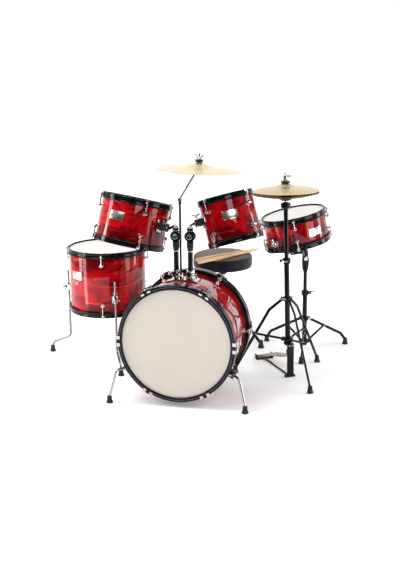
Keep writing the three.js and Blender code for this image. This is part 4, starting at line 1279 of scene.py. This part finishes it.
def snare_stand(snare_place):
    """The stand, and the basket whose hinge axis is level and square to the drum's lean."""
    axis_at = below("snare_stand_upper_tube")
    place = upright(axis_at)
    outer, top = SNARE_TUBE["outer"], SNARE_TUBE["top"]
    s = Shape(BLACK, CHROME)
    s.ring(8.1, outer, 20, top - 4, BLACK, None, 44, 0.4)
    s.pin((0, 0, 20), (0, 0, 24), outer, BLACK, 44)
    clamp(s, outer, top, 0)
    s.finish("snare_stand_lower_tube", place, "snare_stand_base")

    s = Shape(BLACK, CHROME, RUBBER)
    tripod(s, outer, 136, 36, (172, 50), 194, (35, 155, 275), (90, 95))
    wing_screw(s, polar(outer + 5, 330, 138), polar(1, 330), 22, 8)
    s.finish("snare_stand_legs", place, "snare_stand_tripod")

    up = snare_place.to_3x3() @ UP
    tilt = Vector((-up.y, up.x, 0)).normalized()
    turn = math.degrees(math.atan2(tilt.y, tilt.x))
    s = Shape(BLACK, CHROME)
    s.pin((0, 0, 120), (0, 0, TILTER - 34), SNARE_TUBE["upper"], BLACK, 40)
    head = [(0, TILTER - 58), (7.8, TILTER - 58), (10.5, TILTER - 50), (13.4, TILTER - 40),
            (14.2, TILTER - 18), (12, TILTER - 15), (0, TILTER - 15)]
    s.lathe(head, BLACK, None, 44)
    s.place = spin(turn)
    for way in (-1, 1):
        near, far = sorted((way * 7.2, way * 12.6))
        s.block((near, -13, TILTER - 27), (far, 13, TILTER), BLACK, edge=1.4)
        s.cyl((way * 7.2, 0, TILTER), (way * 12.8, 0, TILTER), 13.4, 12.4, BLACK, 44, 1.2)
        s.cyl((way * 12.6, 0, TILTER), (way * 14.2, 0, TILTER), 8.6, 8.0, CHROME, 32, 0.4)
        s.pin((way * 12.6, 0, TILTER), (way * 17, 0, TILTER), 5.2, CHROME, 6)
    s.place = Matrix.Identity(4)
    s.finish("snare_stand_riser", place, "snare_stand_upper_tube")

    # The basket is made in the snare drum's own frame.
    to_drum = snare_place.inverted()
    hinge = (to_drum @ Vector((axis_at.x, axis_at.y, TILTER * MM))) / MM
    local_tilt = (to_drum.to_3x3() @ tilt).normalized()
    d = DRUMS["snare"]
    reach = d["hoop"] + 9
    s = Shape(BLACK, CHROME, RUBBER)
    hub = rounded([(0, -41), (14, -41), (17, -38), (17, -27), (14, -23.5), (0, -23.5)], 1.5, 3)
    s.lathe(hub[1:-1], BLACK, None, 40)
    s.pin((0, 0, -43), (0, 0, -21), 7, CHROME, 6)
    s.block((-40, -12, -42), (-8, 12, -22), BLACK, edge=2.4)
    s.pin((-30, -12, -32), (-30, -15.5, -32), 5.5, CHROME, 6)
    wing_screw(s, (-40, 0, -32), (-1, 0, -0.2), 18, 6)
    for deg in around(3, 51):
        arm = lambda r, z: polar(r, deg, z)
        s.tube([arm(8, -32), arm(reach - 14, -26), arm(reach, -17), arm(reach, 12)], 4.2, BLACK, 9, 16)
        s.place = spin(deg)
        s.block((d["shell"] - 4, -7, -26), (d["shell"] + 7, 7, -0.4), RUBBER, edge=2.0)
        s.cyl((reach, 0, -12), (reach, 0, 14), 5.8, 5.4, RUBBER, 24, 1.6)
        s.place = Matrix.Identity(4)
    s.tube([Vector((0, 0, -32)), Vector((hinge.x * 0.55, hinge.y * 0.55, -46)), hinge], 5.4, BLACK, 8)
    s.pin(hinge - local_tilt * 6.6, hinge + local_tilt * 6.6, 13.2, BLACK, 44)
    s.finish("snare_basket_arms", snare_place, "snare_basket")


# ---- throne, sticks ----
# Heights of the collars on the throne's tube, and (radius, height) of the knee and the brace's end.
THRONE = dict(tube=14, upper=198, lower=94, knee=(140, 66), brace_at=(92, 115), foot_r=182, turn=-15.6)


def throne():
    low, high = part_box("throne_cushion")
    place = upright(below("throne_cushion"))
    top, base = high.z / MM, low.z / MM
    radius = (high.x - low.x) / 2 / MM
    welt_r, welt_z = radius - 2.4, top - 12.6
    s = Shape(SIDE_VINYL, TOP_VINYL)
    side = [(0, base), (radius - 12, base), (radius - 4, base + 2.5), (radius - 0.6, base + 9),
            (radius, base + 20), (radius - 0.4, top - 24), (radius - 1.8, top - 16), (welt_r, welt_z)]
    crown = [(radius - 3.4, top - 9.5), (radius - 7, top - 5.6), (radius - 14, top - 2.8),
             (radius - 30, top - 1.0), (radius * 0.5, top - 0.3), (radius * 0.2, top), (0, top)]
    s.lathe(side + crown, SIDE_VINYL, None, 160)
    s.lathe(wire(welt_r, 1.9, 10, welt_z), SIDE_VINYL, None, 160)
    # The top is inside the welt.
    for face in s.bm.faces:
        inside = face.calc_center_median().xy.length < radius - 2.6
        if inside and all(v.co.z > welt_z - 0.1 for v in face.verts):
            face.material_index = 1
    # Soft puckers gather the vinyl along the welt.
    for v in s.bm.verts:
        flat = v.co.xy.length
        if flat > radius * 0.5 and v.co.z > base + 3:
            angle = math.atan2(v.co.y, v.co.x)
            near = max(0.0, 1 - abs(v.co.z - welt_z) / 22)
            pull = near * near * (0.5 * math.sin(angle * 27) + 0.35 * math.sin(angle * 41 + 1.3))
            v.co.x -= math.cos(angle) * max(0, pull)
            v.co.y -= math.sin(angle) * max(0, pull)
    piece = s.finish("throne_padded_cushion", place, "throne_cushion", sharp=60)

    s = Shape(BLACK, CHROME)
    plate = [(0.001, base - 6), (66, base - 6), (70, base - 3), (70, base - 0.4), (0.001, base - 0.4)]
    s.lathe(rounded(plate, 1.0, 2), BLACK, None, 64)
    socket = [(0, base - 30), (15, base - 30), (19, base - 24), (24, base - 6), (0, base - 6)]
    s.lathe(socket, BLACK, None, 48)
    s.pin((0, 0, 130), (0, 0, base - 20), 10.8, CHROME, 48)
    s.place = spin(200)
    s.pin((19, 0, base - 20), (26, 0, base - 20), 3, CHROME)
    s.place = Matrix.Identity(4)
    s.finish("throne_post_plate", place, "throne_post")

    tube, upper, lower = THRONE["tube"], THRONE["upper"], THRONE["lower"]
    s = Shape(BLACK, CHROME, RUBBER)
    s.ring(11.7, tube, 70, 232, BLACK, None, 48, 0.5)
    clamp(s, tube, 229, 0)
    for z, lip in ((upper, 6), (lower, 5)):
        s.ring(tube, tube + lip, z - 8, z + 8, BLACK, None, 48, 1.6)
    for deg in around(3, THRONE["turn"]):
        arm = lambda r, z: polar(r, deg, z)
        across = polar(1, deg + 90)
        knee, brace_end = arm(*THRONE["knee"]), arm(*THRONE["brace_at"])
        s.bar(arm(tube + 2, upper), knee, 6.5, 12.5, BLACK, 1.8, 2)
        s.bar(knee, arm(THRONE["foot_r"] - 2, 20), 6.5, 12.5, BLACK, 1.8, 2)
        s.bar(arm(tube + 2, lower), brace_end, 4, 9.5, BLACK, 1.2, 2)
        for pivot in (arm(tube + 8, upper - 4), arm(tube + 6, lower + 1), brace_end):
            s.pin(pivot - across * 8, pivot + across * 8, 3, CHROME, 18, 1)
        rubber_foot(s, arm(THRONE["foot_r"], 0), height=34, wide=13)
    s.finish("throne_base_legs", place, "throne_base")


# Each stick's butt, in millimetres, and its heading in degrees.
STICKS = {"stick_front": ((-62, 434), 57), "stick_rear": ((-85, 480), 51)}


def sticks():
    length, radius = 335.0, 6.5
    butt = [(0, 0), (4.4, 0.4), (5.8, 1.6), (6.4, 4), (radius, 8), (radius, length * 0.5)]
    taper = [(radius - 0.2, length * 0.66), (5.4, length * 0.8), (4.2, length * 0.9), (3.3, length - 15)]
    bead = [(3.2, length - 13), (4.2, length - 10.5), (4.7, length - 7), (4.4, length - 3),
            (3.0, length - 0.8), (0, length)]
    for node, (start, heading) in STICKS.items():
        low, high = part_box(node)
        at = spot(*start, 0)
        at.z = (low.z + high.z) / 2
        s = Shape(WOOD)
        s.lathe(butt + taper + bead, None, Z_TO_X, 40)
        s.finish(f"{node}_turned", upright(at, heading), node)


# ---- bass pedal ----
PEDAL = dict(axle_y=205.0, axle_z=150.0, heel_y=385.0, heel_z=16.0, lean=40.0, shaft=105.0)


def pedal():
    ay, az, hy, hz = PEDAL["axle_y"], PEDAL["axle_z"], PEDAL["heel_y"], PEDAL["heel_z"]
    rear = DRUMS["bass"]["length"] / 2
    hoop_low = BASS_Z - DRUMS["bass"]["hoop"]
    s = Shape(BLACK, CHROME, RUBBER)
    s.block((-40, ay - 20, 0), (40, ay + 20, 5), BLACK, edge=1.4)
    s.block((-14, ay, 0), (14, hy, 4), BLACK, edge=1.0)
    s.block((-16, rear - 24, 0), (16, ay, 5), BLACK, edge=1.2)
    s.block((-16, rear - 24, 3), (16, rear + 6, hoop_low - 0.8), RUBBER, edge=1.6)
    outline = rounded([(-38, hy - 16), (38, hy - 16), (30, hy + 26), (-30, hy + 26)], 9, 5)
    s.plate(outline, 0, 4, BLACK)
    for way in (-1, 1):
        x = way * 37
        s.block((x - 3, ay - 9, 3), (x + 3, ay + 9, az - 4), BLACK, edge=1.6)
        s.ring(4.6, 11, -3.4, 3.4, BLACK, Matrix.Translation((x, ay, az)) @ Z_TO_X, 40, 1.0)
        x = way * 33.5
        s.block((x - 2.5, hy - 9, 2), (x + 2.5, hy + 9, hz + 8), BLACK, edge=1.4)
    # The return spring stands beside the frame on its own rod.
    s.pin((46, ay + 4, 60), (46, ay + 4, 118), 2.0, CHROME, 12)
    for k in range(12):
        s.place = Matrix.Translation((46, ay + 4, 66 + k * 4.0)) @ Matrix.Rotation(math.radians(4), 4, "X")
        s.lathe(wire(4.4, 1.0, 8), CHROME, None, 20)
    s.place = Matrix.Identity(4)
    s.block((40, ay, 54), (49, ay + 8, 62), BLACK, edge=1.2)
    s.finish("pedal_frame_plate", KIT, "pedal_frame")

    s = Shape(BRONZE, CHROME)
    pedal_plate(s, (0, hy, hz), (0, ay + 26, 80), 25, 20, 6, 5, 6)
    s.pin((-35, hy, hz), (35, hy, hz), 3.6, CHROME, 20)
    s.finish("pedal_footboard_cast", KIT, "pedal_footboard")

    # The chain sits with its foot at the footboard's toe and its head beside the cam; it rides on no body.
    s = Shape(CHROME)
    links, pitch, foot = 7, Vector((0, -1.6, 8)), Vector((0, ay + 27, 84))
    for k in range(links):
        size = Vector((3.2, 1.0, 5.4)) if k % 2 == 0 else Vector((1.0, 3.0, 5.4))
        s.block(-size, size, CHROME, Matrix.Translation(foot + pitch * k), 0.8)
    span = (spot(*foot), spot(*(foot + pitch * (links - 1))))
    s.finish("pedal_chain", KIT, bridge=("pedal_board", "kit", *span))

    lean = math.radians(PEDAL["lean"])
    along = lambda d: Vector((0, ay + d * math.sin(lean), az + d * math.cos(lean)))
    across = Vector((0, math.cos(lean), -math.sin(lean)))
    tip = along(PEDAL["shaft"])
    s = Shape(CHROME, WHITE_FELT, BLACK)
    s.pin((-41, ay, az), (41, ay, az), 4, CHROME, 6, 0.4)
    s.pin((-7, ay, az), (7, ay, az), 15, BLACK, 48, 1.4)
    s.pin((-3, ay, az), (3, ay, az), 16.5, CHROME, 48, 0.8)
    s.cyl(along(8), along(26), 7, 6, BLACK, 28, 1.0)
    s.pin(along(0), along(PEDAL["shaft"] + 10), 3.2, CHROME, 20)
    s.pin(tip - across * 14.6, tip + across * 6, 18.6, WHITE_FELT, 56, 2.4)
    s.cyl(tip + across * 5.6, tip + across * 14, 13, 10, BLACK, 40, 1.4)
    s.finish("pedal_beater_felt", KIT, "pedal_beater")


# ---- studio ----
def softbox(name, bearing, distance, height, wide, tall, power, aim_at=(0, 0, 0.45)):
    """A panel light."""
    angle = math.radians(CAMERA_TURN - 90 + bearing)
    at = Vector((math.cos(angle) * distance, math.sin(angle) * distance, height))
    data = bpy.data.lights.new(name, "AREA")
    data.shape = "RECTANGLE"
    data.size, data.size_y = wide, tall
    data.energy = power
    lamp = bpy.data.objects.new(name, data)
    bpy.context.scene.collection.objects.link(lamp)
    lamp.visible_camera = False
    direction = Vector(aim_at) - at
    lamp.matrix_world = Matrix.Translation(at) @ direction.to_track_quat("-Z", "Y").to_matrix().to_4x4()


def surroundings():
    world = bpy.data.worlds.new("studio")
    world.use_nodes = True
    tree = world.node_tree
    background = tree.nodes["Background"]
    coords = tree.nodes.new("ShaderNodeTexCoord")
    split = tree.nodes.new("ShaderNodeSeparateXYZ")
    tree.links.new(coords.outputs["Generated"], split.inputs["Vector"])
    depth = tree.nodes.new("ShaderNodeMapRange")
    for socket, value in (("From Min", -0.6), ("From Max", 0.9), ("To Min", 0.04), ("To Max", 1.15)):
        depth.inputs[socket].default_value = value
    tree.links.new(split.outputs["Y"], depth.inputs["Value"])
    sight = tree.nodes.new("ShaderNodeLightPath")
    pick = tree.nodes.new("ShaderNodeMix")
    tree.links.new(sight.outputs["Is Camera Ray"], pick.inputs["Factor"])
    tree.links.new(depth.outputs["Result"], pick.inputs["A"])
    pick.inputs["B"].default_value = 1.0
    tree.links.new(pick.outputs["Result"], background.inputs["Strength"])
    background.inputs["Color"].default_value = (1.0, 1.0, 1.0, 1)
    bpy.context.scene.world = world


FLOOR_RADIUS = 2.4


def studio():
    scene = bpy.context.scene
    surroundings()
    scene.view_settings.view_transform = "Standard"
    scene.view_settings.look = "Medium High Contrast"
    disc = bmesh.new()
    bmesh.ops.create_circle(disc, cap_ends=True, segments=128, radius=FLOOR_RADIUS)
    mesh = bpy.data.meshes.new("floor")
    disc.to_mesh(mesh)
    disc.free()
    mesh.materials.append(studio_floor())
    floor = bpy.data.objects.new("floor", mesh)
    scene.collection.objects.link(floor)
    softbox("strip_left", bearing=-84, distance=2.3, height=1.15, wide=0.5, tall=2.3, power=26)
    softbox("strip_right", bearing=96, distance=2.3, height=1.15, wide=0.45, tall=2.3, power=19)
    softbox("front_panel", bearing=11, distance=3.0, height=1.80, wide=1.2, tall=1.1, power=19)
    softbox("near_left", bearing=-75.5, distance=1.0, height=0.36, wide=0.13, tall=0.72, power=1.7,
            aim_at=(-0.385, 0.081, 0.36))
    softbox("low_right", bearing=60, distance=2.3, height=0.40, wide=1.1, tall=0.7, power=9)
    softbox("key_left", bearing=-42, distance=3.4, height=3.0, wide=1.4, tall=1.4, power=28)
    softbox("top_panel", bearing=-60, distance=1.3, height=3.2, wide=1.4, tall=1.4, power=44,
            aim_at=(0, 0, 0.2))


snare_frame = drums()
spurs()
tom_holder()
tom_posts()
tom_arms()
crash()
floor_tom_legs()
hi_hat()
snare_stand(snare_frame)
throne()
sticks()
pedal()
studio()
